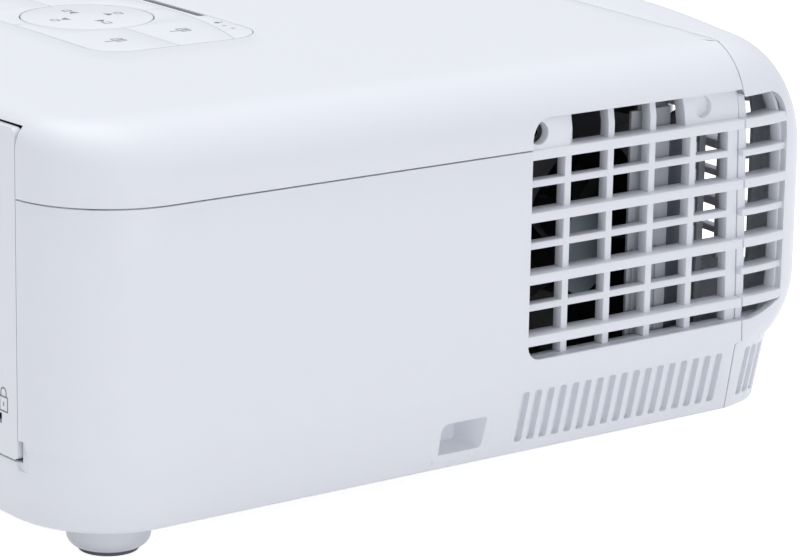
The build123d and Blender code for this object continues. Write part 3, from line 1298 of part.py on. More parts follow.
# ---- Fans ----
def fan_frame(size, depth):
    """A square fan frame centred on the origin, its axis along X, with four holes and motor struts."""
    frame = Box(depth, size, size)
    frame = fillet(frame.edges().filter_by(Axis.X), 3.0)
    bore = size / 2 - 2.0
    frame -= rod(bore, (-depth, 0, 0), (depth, 0, 0))
    spread = size / 2 - 4.0
    for y in (-spread, spread):
        for z in (-spread, spread):
            frame -= rod(2.0, (-depth, y, z), (depth, y, z))
    hub_x = depth / 2 - 2.2
    frame += rod(size * 0.19, (hub_x, 0, 0), (depth / 2, 0, 0))
    strut = block((hub_x, depth / 2), (0, bore + 0.5), (-1.2, 1.2))
    frame += [Rot(45 + 90 * k, 0, 0) * strut for k in range(4)]
    return frame + rod(1.5, (0, 0, 0), (hub_x + 0.5, 0, 0))


def fan_rotor(size, depth):
    """A fan rotor centred on the origin: cup and seven twisted blades."""
    hub = size * 0.2
    low, high = -depth / 2 + 0.6, depth / 2 - 2.6
    rotor = rod(hub, (low, 0, 0), (high, 0, 0))
    reach = size / 2 - 2.9
    blade = Box(1.2, depth * 0.78, reach - hub + 1.5)
    blade = Pos((low + high) / 2, 0, (reach + hub) / 2 - 0.75) * Rot(0, 0, 52) * blade
    blade = blade & rod(reach, (low, 0, 0), (high, 0, 0))
    rotor += [Rot(360 / 7 * k, 0, 0) * blade for k in range(7)]
    return rotor - rod(1.5 + RUNNING_FIT, (-1, 0, 0), (depth, 0, 0))


def fan_cradles():
    """The two floor cradles in which the exhaust fan stands."""
    top = -EXHAUST_FAN / 2 - 0.02
    floor = FLOOR_Z - 0.5 - EXHAUST_Z
    half_depth = EXHAUST_FAN_DEPTH / 2
    cradles = Part()
    for end in (FRONT, REAR):
        y = end * (EXHAUST_FAN / 2 - 8)
        cradle = block((-half_depth - 1.8, half_depth + 1.8), (y - 4, y + 4), (floor, top + 3))
        cradle -= block((-half_depth - 0.1, half_depth + 0.1), ALL, (top, FAR))
        cradles += EXHAUST_PLACE * cradle
    return cradles


def floor_pads():
    """Low pads of the floor under the lamp and its ballast."""
    low = FLOOR_Z - 0.5
    lamp_low = LIGHT_Z - LAMP_HALF - FACE_GAP
    ballast_low = BALLAST_Z[0] - FACE_GAP
    under_lamp = [(x, y) for x in (LAMP_X[0] + 8, LAMP_X[1] - 8) for y in (LIGHT_Y - 26, LIGHT_Y + 26)]
    ballast_y = (BALLAST_Y[0] + 8, BALLAST_Y[1] - 8)
    under_ballast = [(x, y) for x in (BALLAST_X[0] + 8, BALLAST_X[1] - 8) for y in ballast_y]
    pads = [rod(5, (x, y, low), (x, y, lamp_low)) for x, y in under_lamp]
    return Part() + pads + [rod(4, (x, y, low), (x, y, ballast_low)) for x, y in under_ballast]


def exhaust_fan():
    """The frame of the exhaust fan behind the left grille."""
    return EXHAUST_PLACE * fan_frame(EXHAUST_FAN, EXHAUST_FAN_DEPTH)


def exhaust_rotor():
    """The exhaust fan's rotor."""
    return EXHAUST_PLACE * fan_rotor(EXHAUST_FAN, EXHAUST_FAN_DEPTH)


def air_guides():
    """The angled plate behind the bezel: one wing beside the fan, one behind the front grille."""
    start, end = Vector(-119.0, -91.5), Vector(-107.0, -113.5)
    way = end - start
    turn = degrees(acos(way.X / way.length))
    low, high = FLOOR_Z + 0.02, 100.0
    plate = Box(way.length, GUIDE_SHEET, high - low)
    foot_plate = Pos(0, 3, (low - high + GUIDE_SHEET) / 2) * Box(way.length, 7, GUIDE_SHEET)
    middle = (start + end) * 0.5
    side_plate = Pos(middle.X, middle.Y, (low + high) / 2) * Rot(0, 0, -turn) * (plate + foot_plate)
    front_y = (end.Y - GUIDE_SHEET, end.Y)
    return side_plate + block((end.X - GUIDE_SHEET / 2, -24), front_y, (BAR_LOWS[-1] + 0.9, high))


# ---- Power, sound and main board ----
def psu_posts():
    """Where the power supply board stands."""
    return [(x, y) for x in (PSU_X[0] + 6, PSU_X[1] - 6) for y in (PSU_Y[0] + 6, PSU_Y[1] - 6)]


def power_supply():
    """The power supply board with its transformer, capacitors, choke and cooling plates."""
    low = PSU_Z + 0.02
    top = low + BOARD_THICK
    board = block(PSU_X, PSU_Y, (low, top))
    x, y = PSU_X[0], PSU_Y[0]
    board += block((x + 26, x + 58), (y + 34, y + 62), (top - 0.1, top + 26))
    board += block((x + 6, x + 9), (y + 14, y + 66), (top - 0.1, top + 32))
    board += block((x + 66, x + 69), (y + 10, y + 60), (top - 0.1, top + 28))
    board += [rod(9, (x + dx, y + 14, top - 0.1), (x + dx, y + 14, top + 30)) for dx in (24, 45)]
    board += rod(6, (x + 17, y + 58, top - 0.1), (x + 17, y + 58, top + 14))
    return board


def lamp_ballast():
    """The lamp's driver in a vented sheet box."""
    x, y, z = BALLAST_X, BALLAST_Y, BALLAST_Z
    box = block(x, y, z) - block((x[0] + 1, x[1] - 1), (y[0] + 1, y[1] - 1), (z[0] + 1, z[1] - 1))
    starts = [x[0] + 8 + 7 * k for k in range(9)]
    slots = [block((at, at + 2.5), (y[0] + 12, y[1] - 12), (z[1] - 3, FAR)) for at in starts]
    return box - slots + block((x[0] + 18, x[0] + 50), (y[0] + 16, y[0] + 52), (z[0] + 0.9, z[0] + 18))


def main_board():
    """The main board with its processor, cooler, memory and coils."""
    board = block(MAIN_BOARD_X, MAIN_BOARD_Y, (MAIN_BOARD_Z + 0.02, BOARD_TOP))
    board -= [rod(SCREW_RADIUS + 0.2, (x, y, 0), (x, y, FAR)) for x, y in board_posts()]
    top = BOARD_TOP - 0.1
    board += block((-26, 8), (66, 100), (top, top + 2.5))
    board += [block((-24 + 5.2 * k, -22.6 + 5.2 * k), (68, 98), (top + 2, top + 12)) for k in range(7)]
    board += [block((18, 30), (70 + 16 * k, 80 + 16 * k), (top, top + 1.5)) for k in range(2)]
    board += [rod(4, (44 + 12 * k, 62, top), (44 + 12 * k, 62, top + 9)) for k in range(4)]
    board += block((60, 90), (78, 92), (top, top + 2.2))
    return board


def speaker():
    """The small loudspeaker facing the left flank: basket, cone and magnet."""
    x = (HALF_WIDTH - 24, HALF_WIDTH - 9.5)
    y, z = 60.0, FLOOR_Z + 24
    basket = block((x[1] - 4, x[1]), (y - 22, y + 22), (z - 21, z + 21))
    basket -= rod(18, (0, y, z), (FAR, y, z))
    cone = revolve(make_face([
        Line((x[1] - 3, 18.4), (x[1] - 10, 8)),
        Line((x[1] - 10, 8), (x[1] - 11.5, 8)),
        Line((x[1] - 11.5, 8), (x[1] - 4.5, 19)),
        Line((x[1] - 4.5, 19), (x[1] - 3, 18.4)),
    ]), Axis.X)
    magnet = rod(12, (x[0], 0, 0), (x[1] - 10.5, 0, 0))
    legs = [block((x[1] - 4, x[1]), (y + dy, y + dy + 5), (FLOOR_Z + 0.02, z - 20)) for dy in (-20, 15)]
    return basket + legs + Pos(0, y, z) * (cone + magnet)


# ---- Screws ----
def cover_screws():
    """The screw at the rear end of each side grille's top row."""
    screws = []
    for side, columns in ((RIGHT, SIDE_COLUMNS), (LEFT, DISC_SIDE_COLUMNS)):
        x = side * (HALF_WIDTH - BAR_DEPTH + BLOCK_FLOOR + FACE_GAP)
        screws.append(screw((x, screw_place(columns), SCREW_LINE), (-side, 0, 0), 7.5))
    return Part() + screws


def screws():
    """All the screws: two of the cover, four of the main board and three of the drive's bracket."""
    bracket_top = BRACKET_TOP - 0.3 + 0.02
    group = cover_screws()
    group += [screw((x, y, BOARD_TOP + 0.02), (0, 0, -1), 8.0) for x, y in board_posts()]
    group += [screw((x, y, bracket_top), (0, 0, -1), 8.0, head_height=0.25) for x, y in BRACKET_POSTS]
    return group


# ---- Nodes ----
NODES = {
    "top_cover": top_cover,
    "lower_case": lower_case,
    "front_bezel": front_bezel,
    "sensor_windows": sensor_windows,
    "foot_front": lambda: foot(*FRONT_FOOT),
    "foot_rear_right": lambda: foot(*REAR_FEET[0]),
    "foot_rear_left": lambda: foot(*REAR_FEET[1]),
    "pad_front": lambda: foot_pad(*FRONT_FOOT),
    "pad_rear_right": lambda: foot_pad(*REAR_FEET[0]),
    "pad_rear_left": lambda: foot_pad(*REAR_FEET[1]),
    "io_panel": io_panel,
    "hdmi_sockets": hdmi_sockets,
    "usb_socket": usb_socket,
    "d_sockets": d_sockets,
    "round_sockets": round_sockets,
    "ac_inlet": ac_inlet,
    "status_strip": status_strip,
    "key_rear_right": lambda: key(RIGHT, REAR),
    "key_front_right": lambda: key(RIGHT, FRONT),
    "key_rear_left": lambda: key(LEFT, REAR),
    "key_front_left": lambda: key(LEFT, FRONT),
    "direction_pad": dpad,
    "pad_tilt_ring": dpad_ring,
    "keypad_base": keypad_base,
    "keypad_board": keypad_board,
    "lens_barrel": lens_barrel,
    "focus_ring": lambda: knurled_ring(FOCUS_Y),
    "zoom_ring": lambda: knurled_ring(ZOOM_Y),
    "focus_cell": focus_cell,
    "front_glass": front_glass,
    "inner_glass": inner_glass,
    "engine_housing": engine_housing,
    "engine_cover": engine_cover,
    "chip_board": chip_board,
    "chip_heatsink": chip_heatsink,
    "lamp_housing": lamp_housing,
    "lamp_reflector": reflector,
    "lamp_burner": lamp_burner,
    "colour_wheel": colour_wheel,
    "wheel_motor": wheel_motor,
    "drive_housing": drive_housing,
    "drive_bracket": drive_bracket,
    "disc_tray": disc_tray,
    "tray_chassis": tray_chassis,
    "tray_rails": tray_rails,
    "tray_front": tray_front,
    "eject_button": eject_button,
    "spindle_motor": spindle_motor,
    "turntable": turntable,
    "guide_rods": guide_rods,
    "laser_sled": laser_sled,
    "lead_screw": lead_screw,
    "exhaust_fan": exhaust_fan,
    "exhaust_rotor": exhaust_rotor,
    "air_guides": air_guides,
    "power_supply": power_supply,
    "lamp_ballast": lamp_ballast,
    "main_board": main_board,
    "speaker": speaker,
    "screws": screws,
}


def main():
    os.makedirs("parts", exist_ok=True)
    for name, make in NODES.items():
        export_step(make(), f"parts/{name}.step")


if __name__ == "__main__":
    main()
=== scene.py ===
import json
from math import acos, asin, cos, degrees, hypot, pi, radians, sin, sqrt

import bmesh
import bpy
from mathutils import Matrix, Vector

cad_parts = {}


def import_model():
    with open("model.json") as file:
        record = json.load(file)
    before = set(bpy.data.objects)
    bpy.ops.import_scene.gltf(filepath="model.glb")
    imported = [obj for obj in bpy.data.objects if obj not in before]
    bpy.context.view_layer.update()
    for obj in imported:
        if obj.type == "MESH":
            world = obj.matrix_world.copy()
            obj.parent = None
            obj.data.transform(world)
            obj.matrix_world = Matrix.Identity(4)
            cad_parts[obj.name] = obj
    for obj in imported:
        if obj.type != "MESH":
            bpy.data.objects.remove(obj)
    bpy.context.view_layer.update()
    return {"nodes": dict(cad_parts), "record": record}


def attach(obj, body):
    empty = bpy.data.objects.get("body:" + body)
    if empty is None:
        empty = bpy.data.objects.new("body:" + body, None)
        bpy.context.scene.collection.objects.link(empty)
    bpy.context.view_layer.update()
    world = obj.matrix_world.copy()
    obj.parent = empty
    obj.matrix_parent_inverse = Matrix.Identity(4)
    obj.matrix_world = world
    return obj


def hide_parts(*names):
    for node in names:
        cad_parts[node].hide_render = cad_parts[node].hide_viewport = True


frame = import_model()
NODES = frame["nodes"]

# Everything below is in millimetres until new_object() turns it into metres.
MM = 0.001
FAR = 400.0  # beyond the object, for cutters that go right through

# ---- The case's driving sizes ----
WIDTH, DEPTH, HEIGHT = 332.0, 276.0, 126.5
HALF = WIDTH / 2
REAR, NOSE = DEPTH / 2, -DEPTH / 2
BOTTOM = 12.0  # the underside, over the feet
WALL = 2.5
CROWN_DROP = 3.5  # how much lower the top is at its sides than in the middle
BOTTOM_ROUND = 1.2

# Seen from above: the radii of the rear corner, the flank's sweep, the front corner and the bowed front.
REAR_CORNER, SWEEP, SWEEP_ANGLE, CORNER, BOW = 30.0, 91.0, 11.0, 20.0, 1000.0

# The rounding over the wall reaches inwards in x and y and down in z.
REAR_SHOULDER = 9.0
SIDE_SHIFT = (18.0, 0.0, 18.0)
CORNER_SHIFT = (10.5, 26.6, 34.9)
FRONT_SHIFT = (0.0, 25.7, 22.2)
SHIFT_START_Y = -83.5  # where the flank's shoulder starts to turn into the corner's
SHIFT_RUN = 65.7  # how far past the corner the front's shoulder is complete

# The chin curves back below CHIN_TOP, and everything steps in a little below the crease.
CHIN_TOP, CHIN_RADIUS = 52.0, 22.0
CREASE, LEDGE, FLANK_TAPER, REAR_TAPER = 34.4, 0.5, 6.0, 3.0
RING_HEIGHTS = (18, 24, 30, CREASE - 0.3, CREASE - 0.02, CREASE + 0.02, 36, 37.5, 39.5, 41.5, 43.5, 45.5, 47.6,
                50.3, 53, 60, 74, 86)

# The seam between cover and case, the seam in front of both, and the gap in each.
SEAM_Z, SEAM_Y, SEAM = 102.0, -93.6, 0.45

# ---- Grilles ----
BAR_PITCH, BAR, THIN_BAR, BAR_DEPTH = 18.0, 2.9, 2.1, 7.0
RIB_PITCH, RIB, RIB_RECESS, RIB_DEPTH = 15.7, 2.4, 3.0, 3.7
GRILLE_REAR = -13.1
FIRST_RIB = GRILLE_REAR - 14.3
COLUMNS = {False: 5, True: 4}  # the right side and the mirrored left side, which the tray shortens
BAR_LOWS = [SEAM_Z - BAR - BAR_PITCH * k for k in range(4)]
THIN_LOWS = [low - (BAR_PITCH - BAR) / 2 - THIN_BAR / 2 for low in BAR_LOWS[:3]]
WINDOW_LOW, WINDOW_HIGH = BAR_LOWS[-1] - 4.2, SEAM_Z + 8.8
SCREW_Z = SEAM_Z + 4.4
BEZEL_CELL = (SEAM_Y - 18.1, SEAM_Y - 3.8)
BEZEL_HIGH = WINDOW_HIGH - 2.2
BEZEL_THIN_INSET = 1.0
FRONT_CELLS = (-137.1, -29.6)
CASE_SLOTS = [-13.9 - 4.6 * k for k in range(17)]
BEZEL_SLOTS = [-99.8 - 3.6 * k for k in range(3)]
SLOT_ROWS, SLOT_HALF, SLOT_DEPTH, SLOT_CORNER = (16.0, 31.6), 1.35, 2.1, 0.75

# ---- Other openings ----
PANEL_HALF, PANEL_ROWS = 138.0, (29.9, 121.3)
TRAY_SPAN, TRAY_ROWS = (-24.1, 106.1), (83.3, 97.4)
LENS_X, LENS_Z, HOOD_BORE, HOOD_WALL = 85.0, 66.0, 37.0, 2.4
RING_X, RING_Y = (LENS_X - 18, LENS_X + 18), (-122.5, -97.7)
RING_WALL = 1.4
IR_X, IR_Z = (6.8, 29.2), (87.3, 96.7)
FAN_CENTRE, FAN_TURN = (-129.0, -53.0, 62.0), 16.0

# ---- Keypad ----
KEYPAD_X, KEYPAD_Y = (-85.0, 13.0), (19.8, 76.3)
PAD = (-36.0, 51.3)
DISC = 19.5
KEY_GAP = 0.3
STRIP_RADIUS, STRIP_Y = 145.0, 23.9
LAMP_XS, LAMP_Y, LAMP_RADIUS = (-72.0, -67.5), 23.9, 0.75
INK_LIFT = 0.035  # how far print stands over its surface
KEYS = {
    (-1, 1): "key_rear_right", (-1, -1): "key_front_right", (1, 1): "key_rear_left", (1, -1): "key_front_left",
}


# ---- Mesh helpers ----
def new_object(name, verts, faces):
    """A mesh object from points in millimetres."""
    mesh = bpy.data.meshes.new(name)
    mesh.from_pydata([Vector(v) * MM for v in verts], [], faces)
    mesh.validate()
    obj = bpy.data.objects.new(name, mesh)
    bpy.context.scene.collection.objects.link(obj)
    return obj


def recalc(obj):
    """Turns all faces outwards."""
    work = bmesh.new()
    work.from_mesh(obj.data)
    bmesh.ops.recalc_face_normals(work, faces=work.faces)
    work.to_mesh(obj.data)
    work.free()
    return obj


def apply_modifiers(obj):
    """Replaces an object's mesh with its modified form."""
    bpy.context.view_layer.update()
    graph = bpy.context.evaluated_depsgraph_get()
    mesh = bpy.data.meshes.new_from_object(obj.evaluated_get(graph))
    obj.modifiers.clear()
    old = obj.data
    obj.data = mesh
    bpy.data.meshes.remove(old)
    return obj


def boolean(obj, other, operation, crossing=False):
    """Cuts, joins or intersects an object with another one, which is then removed."""
    modifier = obj.modifiers.new("cut", "BOOLEAN")
    modifier.solver = "EXACT"
    modifier.use_self = crossing
    modifier.operation = operation
    modifier.object = other
    apply_modifiers(obj)
    bpy.data.objects.remove(other)
    return obj


def join(pieces, name):
    """One object from several."""
    work = bmesh.new()
    for piece in pieces:
        piece.data.transform(piece.matrix_world)
        work.from_mesh(piece.data)
        bpy.data.objects.remove(piece)
    mesh = bpy.data.meshes.new(name)
    work.to_mesh(mesh)
    work.free()
    obj = bpy.data.objects.new(name, mesh)
    bpy.context.scene.collection.objects.link(obj)
    return obj


def soften(obj, width, segments=2, angle=35.0):
    """Rounds an object's sharp edges."""
    modifier = obj.modifiers.new("round", "BEVEL")
    modifier.width = width * MM
    modifier.segments = segments
    modifier.limit_method = "ANGLE"
    modifier.angle_limit = radians(angle)
    modifier.use_clamp_overlap = True
    modifier.harden_normals = False
    return apply_modifiers(obj)


def smooth(obj, angle=32.0):
    """Smooth shading that keeps real edges sharp."""
    obj.data.shade_smooth()
    obj.data.set_sharp_from_angle(angle=radians(angle))
    return obj


def box(x, y, z, name="box"):
    """A plain block from three (low, high) pairs, used to cut with."""
    verts = [(i, j, k) for i in sorted(x) for j in sorted(y) for k in sorted(z)]
    faces = [(0, 1, 3, 2), (4, 6, 7, 5), (0, 4, 5, 1), (2, 3, 7, 6), (0, 2, 6, 4), (1, 5, 7, 3)]
    return recalc(new_object(name, verts, faces))


def between(name, first, second):
    """A closed block between two outlines in space that have the same number of points."""
    count = len(first)
    faces = [tuple(range(count)), tuple(range(2 * count - 1, count - 1, -1))]
    faces += [(i, (i + 1) % count, count + (i + 1) % count, count + i) for i in range(count)]
    return recalc(new_object(name, first + second, faces))


def prism(points, low, high, axis, name="prism"):
    """A prism of a closed outline: axis x, y or z is the direction it is drawn out in."""
    def place(a, b, along):
        return {"x": (along, a, b), "y": (a, along, b), "z": (a, b, along)}[axis]

    return between(name, [place(a, b, low) for a, b in points], [place(a, b, high) for a, b in points])


def rounded(x, y, radii, steps=8):
    """A rectangle's outline with its own radius at each corner: low-low, high-low, high-high, low-high."""
    corners = [(x[0], y[0], 180), (x[1], y[0], 270), (x[1], y[1], 0), (x[0], y[1], 90)]
    points = []
    for (cx, cy, start), radius in zip(corners, radii):
        if radius <= 0:
            points.append((cx, cy))
            continue
        sx = 1 if cx == x[0] else -1
        sy = 1 if cy == y[0] else -1
        for k in range(steps + 1):
            angle = radians(start + 90 * k / steps)
            points.append((cx + sx * radius + radius * cos(angle), cy + sy * radius + radius * sin(angle)))
    return points


def circle(cx, cy, radius, steps=64):
    """A circle's outline."""
    return [(cx + radius * cos(2 * pi * k / steps), cy + radius * sin(2 * pi * k / steps)) for k in range(steps)]


def lathe(profile, origin, axis, name, steps=48):
    """A turned piece: profile is (radius, distance along axis) pairs from end to end."""
    way = Vector(axis).normalized()
    turn = Vector((0, 0, 1)).rotation_difference(way).to_matrix()
    start = Vector(origin)
    verts, faces = [], []
    for radius, along in profile:
        for k in range(steps):
            a = 2 * pi * k / steps
            verts.append(start + turn @ Vector((radius * cos(a), radius * sin(a), along)))
    for i in range(len(profile) - 1):
        for k in range(steps):
            n = (k + 1) % steps
            faces.append((i * steps + k, i * steps + n, (i + 1) * steps + n, (i + 1) * steps + k))
    if profile[0][0] > 0.01:
        faces.append(tuple(range(steps - 1, -1, -1)))
    if profile[-1][0] > 0.01:
        last = (len(profile) - 1) * steps
        faces.append(tuple(range(last, last + steps)))
    return recalc(new_object(name, verts, faces))


# ---- The case's form ----
def segments():
    """The right half of the outline, from the rear centre round to the front centre: (kind, length, data)."""
    corner_x = -HALF + SWEEP - (SWEEP - CORNER) * cos(radians(SWEEP_ANGLE))
    bow_angle = degrees(acos(-corner_x / (BOW - CORNER)))
    corner_y = NOSE + BOW - (BOW - CORNER) * sin(radians(bow_angle))
    sweep_y = corner_y + (SWEEP - CORNER) * sin(radians(SWEEP_ANGLE))
    rear_y = REAR - REAR_CORNER
    return [
        ("line", HALF - REAR_CORNER, (0, REAR), 90.0),
        ("arc", REAR_CORNER, (-HALF + REAR_CORNER, rear_y), 90.0, 180.0),
        ("line", rear_y - sweep_y, (-HALF, rear_y), 180.0),
        ("arc", SWEEP, (-HALF + SWEEP, sweep_y), 180.0, 180.0 + SWEEP_ANGLE),
        ("arc", CORNER, (corner_x, corner_y), 180.0 + SWEEP_ANGLE, 180.0 + bow_angle),
        ("arc", BOW, (0, NOSE + BOW), 180.0 + bow_angle, 270.0),
    ]


SEGMENTS = segments()


def segment_length(seg):
    """The length of one segment of the outline."""
    return seg[1] if seg[0] == "line" else seg[1] * radians(seg[4] - seg[3])


LENGTHS = [segment_length(seg) for seg in SEGMENTS]
HALF_LENGTH = sum(LENGTHS)
SWEEP_START = sum(LENGTHS[:3])


def on_outline(s):
    """The point and the outward direction's angle at a distance s along the right half of the outline."""
    for seg, length in zip(SEGMENTS, LENGTHS):
        if s <= length or seg is SEGMENTS[-1]:
            break
        s -= length
    if seg[0] == "line":
        angle = radians(seg[3])
        return (seg[2][0] - sin(angle) * s, seg[2][1] + cos(angle) * s), angle
    angle = radians(seg[3]) + s / seg[1]
    return (seg[2][0] + seg[1] * cos(angle), seg[2][1] + seg[1] * sin(angle)), angle


def find_s(value, index, low, high):
    """The distance along the outline where x (index 0) or y (index 1) has a value, between two distances."""
    rising = on_outline(high)[0][index] > on_outline(low)[0][index]
    for _ in range(40):
        middle = (low + high) / 2
        above = on_outline(middle)[0][index] > value
        low, high = (low, middle) if above == rising else (middle, high)
    return (low + high) / 2


CORNER_MIDDLE = sum(LENGTHS[:4]) + LENGTHS[4] / 2
SHIFT_START = find_s(SHIFT_START_Y, 1, sum(LENGTHS[:2]), sum(LENGTHS[:4]))


def s_of_y(y):
    """The distance along the outline of a place on the flank."""
    return find_s(y, 1, sum(LENGTHS[:2]), sum(LENGTHS[:5]))


def s_of_x(x):
    """The distance along the outline of a place on the front."""
    return find_s(x, 0, SWEEP_START + LENGTHS[3], HALF_LENGTH)


def crown(x):
    """The height of the crowned top."""
    return HEIGHT - CROWN_DROP * (x / HALF) ** 2


def smoothstep(t):
    """An even passage from 0 to 1."""
    t = max(0.0, min(1.0, t))
    return t * t * (3 - 2 * t)


def shoulder(s):
    """How far the rounding over the wall reaches inwards (x, y) and down, at a distance along the outline."""
    _, angle = on_outline(s)
    if angle < pi:
        radius = REAR_SHOULDER + (SIDE_SHIFT[2] - REAR_SHOULDER) * smoothstep((degrees(angle) - 90) / 90)
        return -cos(angle) * radius, -sin(angle) * radius, radius
    if s < CORNER_MIDDLE:
        start, end, t = SIDE_SHIFT, CORNER_SHIFT, (s - SHIFT_START) / (CORNER_MIDDLE - SHIFT_START)
    else:
        start, end, t = CORNER_SHIFT, FRONT_SHIFT, (s - CORNER_MIDDLE) / SHIFT_RUN
    t = smoothstep(t)
    return tuple(a + (b - a) * t for a, b in zip(start, end))


def under(z):
    """How far the front stands back, and the sides lean in, at a height under the chin."""
    drop = CHIN_TOP - max(z, CREASE)
    setback = 0.0 if drop <= 0 else CHIN_RADIUS - sqrt(CHIN_RADIUS ** 2 - drop ** 2)
    if z >= CREASE:
        return setback, 0.0
    return setback, LEDGE + (FLANK_TAPER - LEDGE) * (CREASE - z) / (CREASE - BOTTOM)


def surface(s, z, inset, mirrored=False, shoulder_step=None):
    """A point of the case's form drawn in by inset, at a distance along the outline and a height."""
    (x, y), angle = on_outline(s)
    shift_x, shift_y, drop = shoulder(s)
    top = crown(x + shift_x)
    if shoulder_step is not None:
        turn = shoulder_step * pi / 2
        z = top - drop + (drop - inset) * sin(turn)
    else:
        turn = asin(max(0.0, min(1.0, (z - top + drop) / (drop - inset))))
    share = (1 - inset / hypot(shift_x, shift_y)) * (1 - cos(turn))
    setback, taper = under(z)
    px = x - cos(angle) * inset + shift_x * share
    py = y - sin(angle) * inset + shift_y * share
    px += taper * min(1.0, abs(x) / (HALF - REAR_CORNER))
    if s > SWEEP_START:
        py += setback * min(1.0, (s - SWEEP_START) / LENGTHS[3])
        ledge = LEDGE if z < CREASE else 0.0
        py += ledge * min(1.0, (s - SWEEP_START) / LENGTHS[3])
    elif y > REAR - REAR_CORNER and z < CREASE:
        py -= (LEDGE + REAR_TAPER * ((CREASE - z) / (CREASE - BOTTOM)) ** 2) * sin(angle)
    return (-px if mirrored else px, py, z)


def outline_steps():
    """The distances along the half outline at which the form is sampled."""
    counts = (14, 20, 34, 14, 26, 34)
    steps, start = [], 0.0
    for length, count in zip(LENGTHS, counts):
        steps += [start + length * k / count for k in range(count)]
        start += length
    return steps + [HALF_LENGTH]


STEPS = outline_steps()


def full_ring(inset, z=None, shoulder_step=None, extra=0.0):
    """One closed ring of the form."""
    right = [surface(s, z, inset + extra, False, shoulder_step) for s in STEPS]
    left = [surface(s, z, inset + extra, True, shoulder_step) for s in STEPS[1:-1]]
    return right + left[::-1]


def case_rings(inset):
    """All rings of the form from the bottom to the middle of the top."""
    base = BOTTOM + inset
    rings = []
    for k in range(5):
        angle = pi / 2 * k / 4
        drawn_in = BOTTOM_ROUND * (1 - sin(angle))
        rings.append(full_ring(inset, base + BOTTOM_ROUND * (1 - cos(angle)), None, drawn_in))
    for z in RING_HEIGHTS:
        rings.append(full_ring(inset, z))
    for k in range(17):
        rings.append(full_ring(inset, 0.0, k / 16))
    edge = rings[-1]
    for share in (0.94, 0.82, 0.66, 0.5, 0.34, 0.18, 0.06):
        rings.append([(x * share, y * share, crown(x * share) - inset) for x, y, z in edge])
    return rings


def case_solid(inset, name):
    """The case's form as a closed mesh."""
    rings = case_rings(inset)
    count = len(rings[0])
    verts = [p for ring in rings for p in ring]
    faces = [tuple(range(count))]
    for i in range(len(rings) - 1):
        for k in range(count):
            n = (k + 1) % count
            faces.append((i * count + k, i * count + n, (i + 1) * count + n, (i + 1) * count + k))
    last = (len(rings) - 1) * count
    verts.append((0, 0, HEIGHT - inset))
    faces += [(last + k, last + (k + 1) % count, len(verts) - 1) for k in range(count)]
    return recalc(new_object(name, verts, faces))


def seam_y(z):
    """The front seam leans a little, and steps back below the crease."""
    if z < CREASE:
        return SEAM_Y + 0.4 - 0.06 * (CREASE - 1.4 - z)
    return SEAM_Y + 0.5 - 0.03 * (SEAM_Z - 1 - z)


def behind_seam(z):
    """The distance along the outline of the case's edge at the front seam."""
    return s_of_y(seam_y(z) + SEAM / 2)


def before_seam(z):
    """The distance along the outline of the front moulding's edge at the front seam."""
    return s_of_y(seam_y(z) - SEAM / 2)


def seam_side(front):
    """The space in front of the seam or behind it."""
    gap, far = (-SEAM / 2, -FAR) if front else (SEAM / 2, FAR)
    line = [(seam_y(z) + gap, z) for z in (-10, CREASE - 0.6, CREASE, 160)]
    return prism(line + [(far, 160), (far, -10)], -FAR, FAR, "x", "seam")


def shell(name):
    """The case's form as a hollow shell."""
    outer = case_solid(0.0, name)
    inner = case_solid(WALL, "inner")
    return boolean(outer, inner, "DIFFERENCE")


def slab(name, s_range, z_range, insets, mirrored=False, s_count=2, z_count=2):
    """A block of the wall between two distances, two heights and two insets.

    The distances are a pair, or a function that gives the pair at a height.
    """
    z_values = [z_range[0] + (z_range[1] - z_range[0]) * j / (z_count - 1) for j in range(z_count)]
    ends = [s_range(z) if callable(s_range) else s_range for z in z_values]
    verts = []
    for inset in insets:
        for i in range(s_count):
            for z, (start, end) in zip(z_values, ends):
                verts.append(surface(start + (end - start) * (i / (s_count - 1)), z, inset, mirrored))
    layer = s_count * z_count
    faces = []
    for i in range(s_count - 1):
        for j in range(z_count - 1):
            a = i * z_count + j
            faces.append((a, a + 1, a + z_count + 1, a + z_count))
            faces.append(tuple(layer + v for v in (a, a + z_count, a + z_count + 1, a + 1)))
    for i in range(s_count - 1):
        for j in (0, z_count - 1):
            a, b = i * z_count + j, (i + 1) * z_count + j
            faces.append((a, b, layer + b, layer + a))
    for j in range(z_count - 1):
        for i in (0, s_count - 1):
            a, b = i * z_count + j, i * z_count + j + 1
            faces.append((a, b, layer + b, layer + a))
    return recalc(new_object(name, verts, faces))


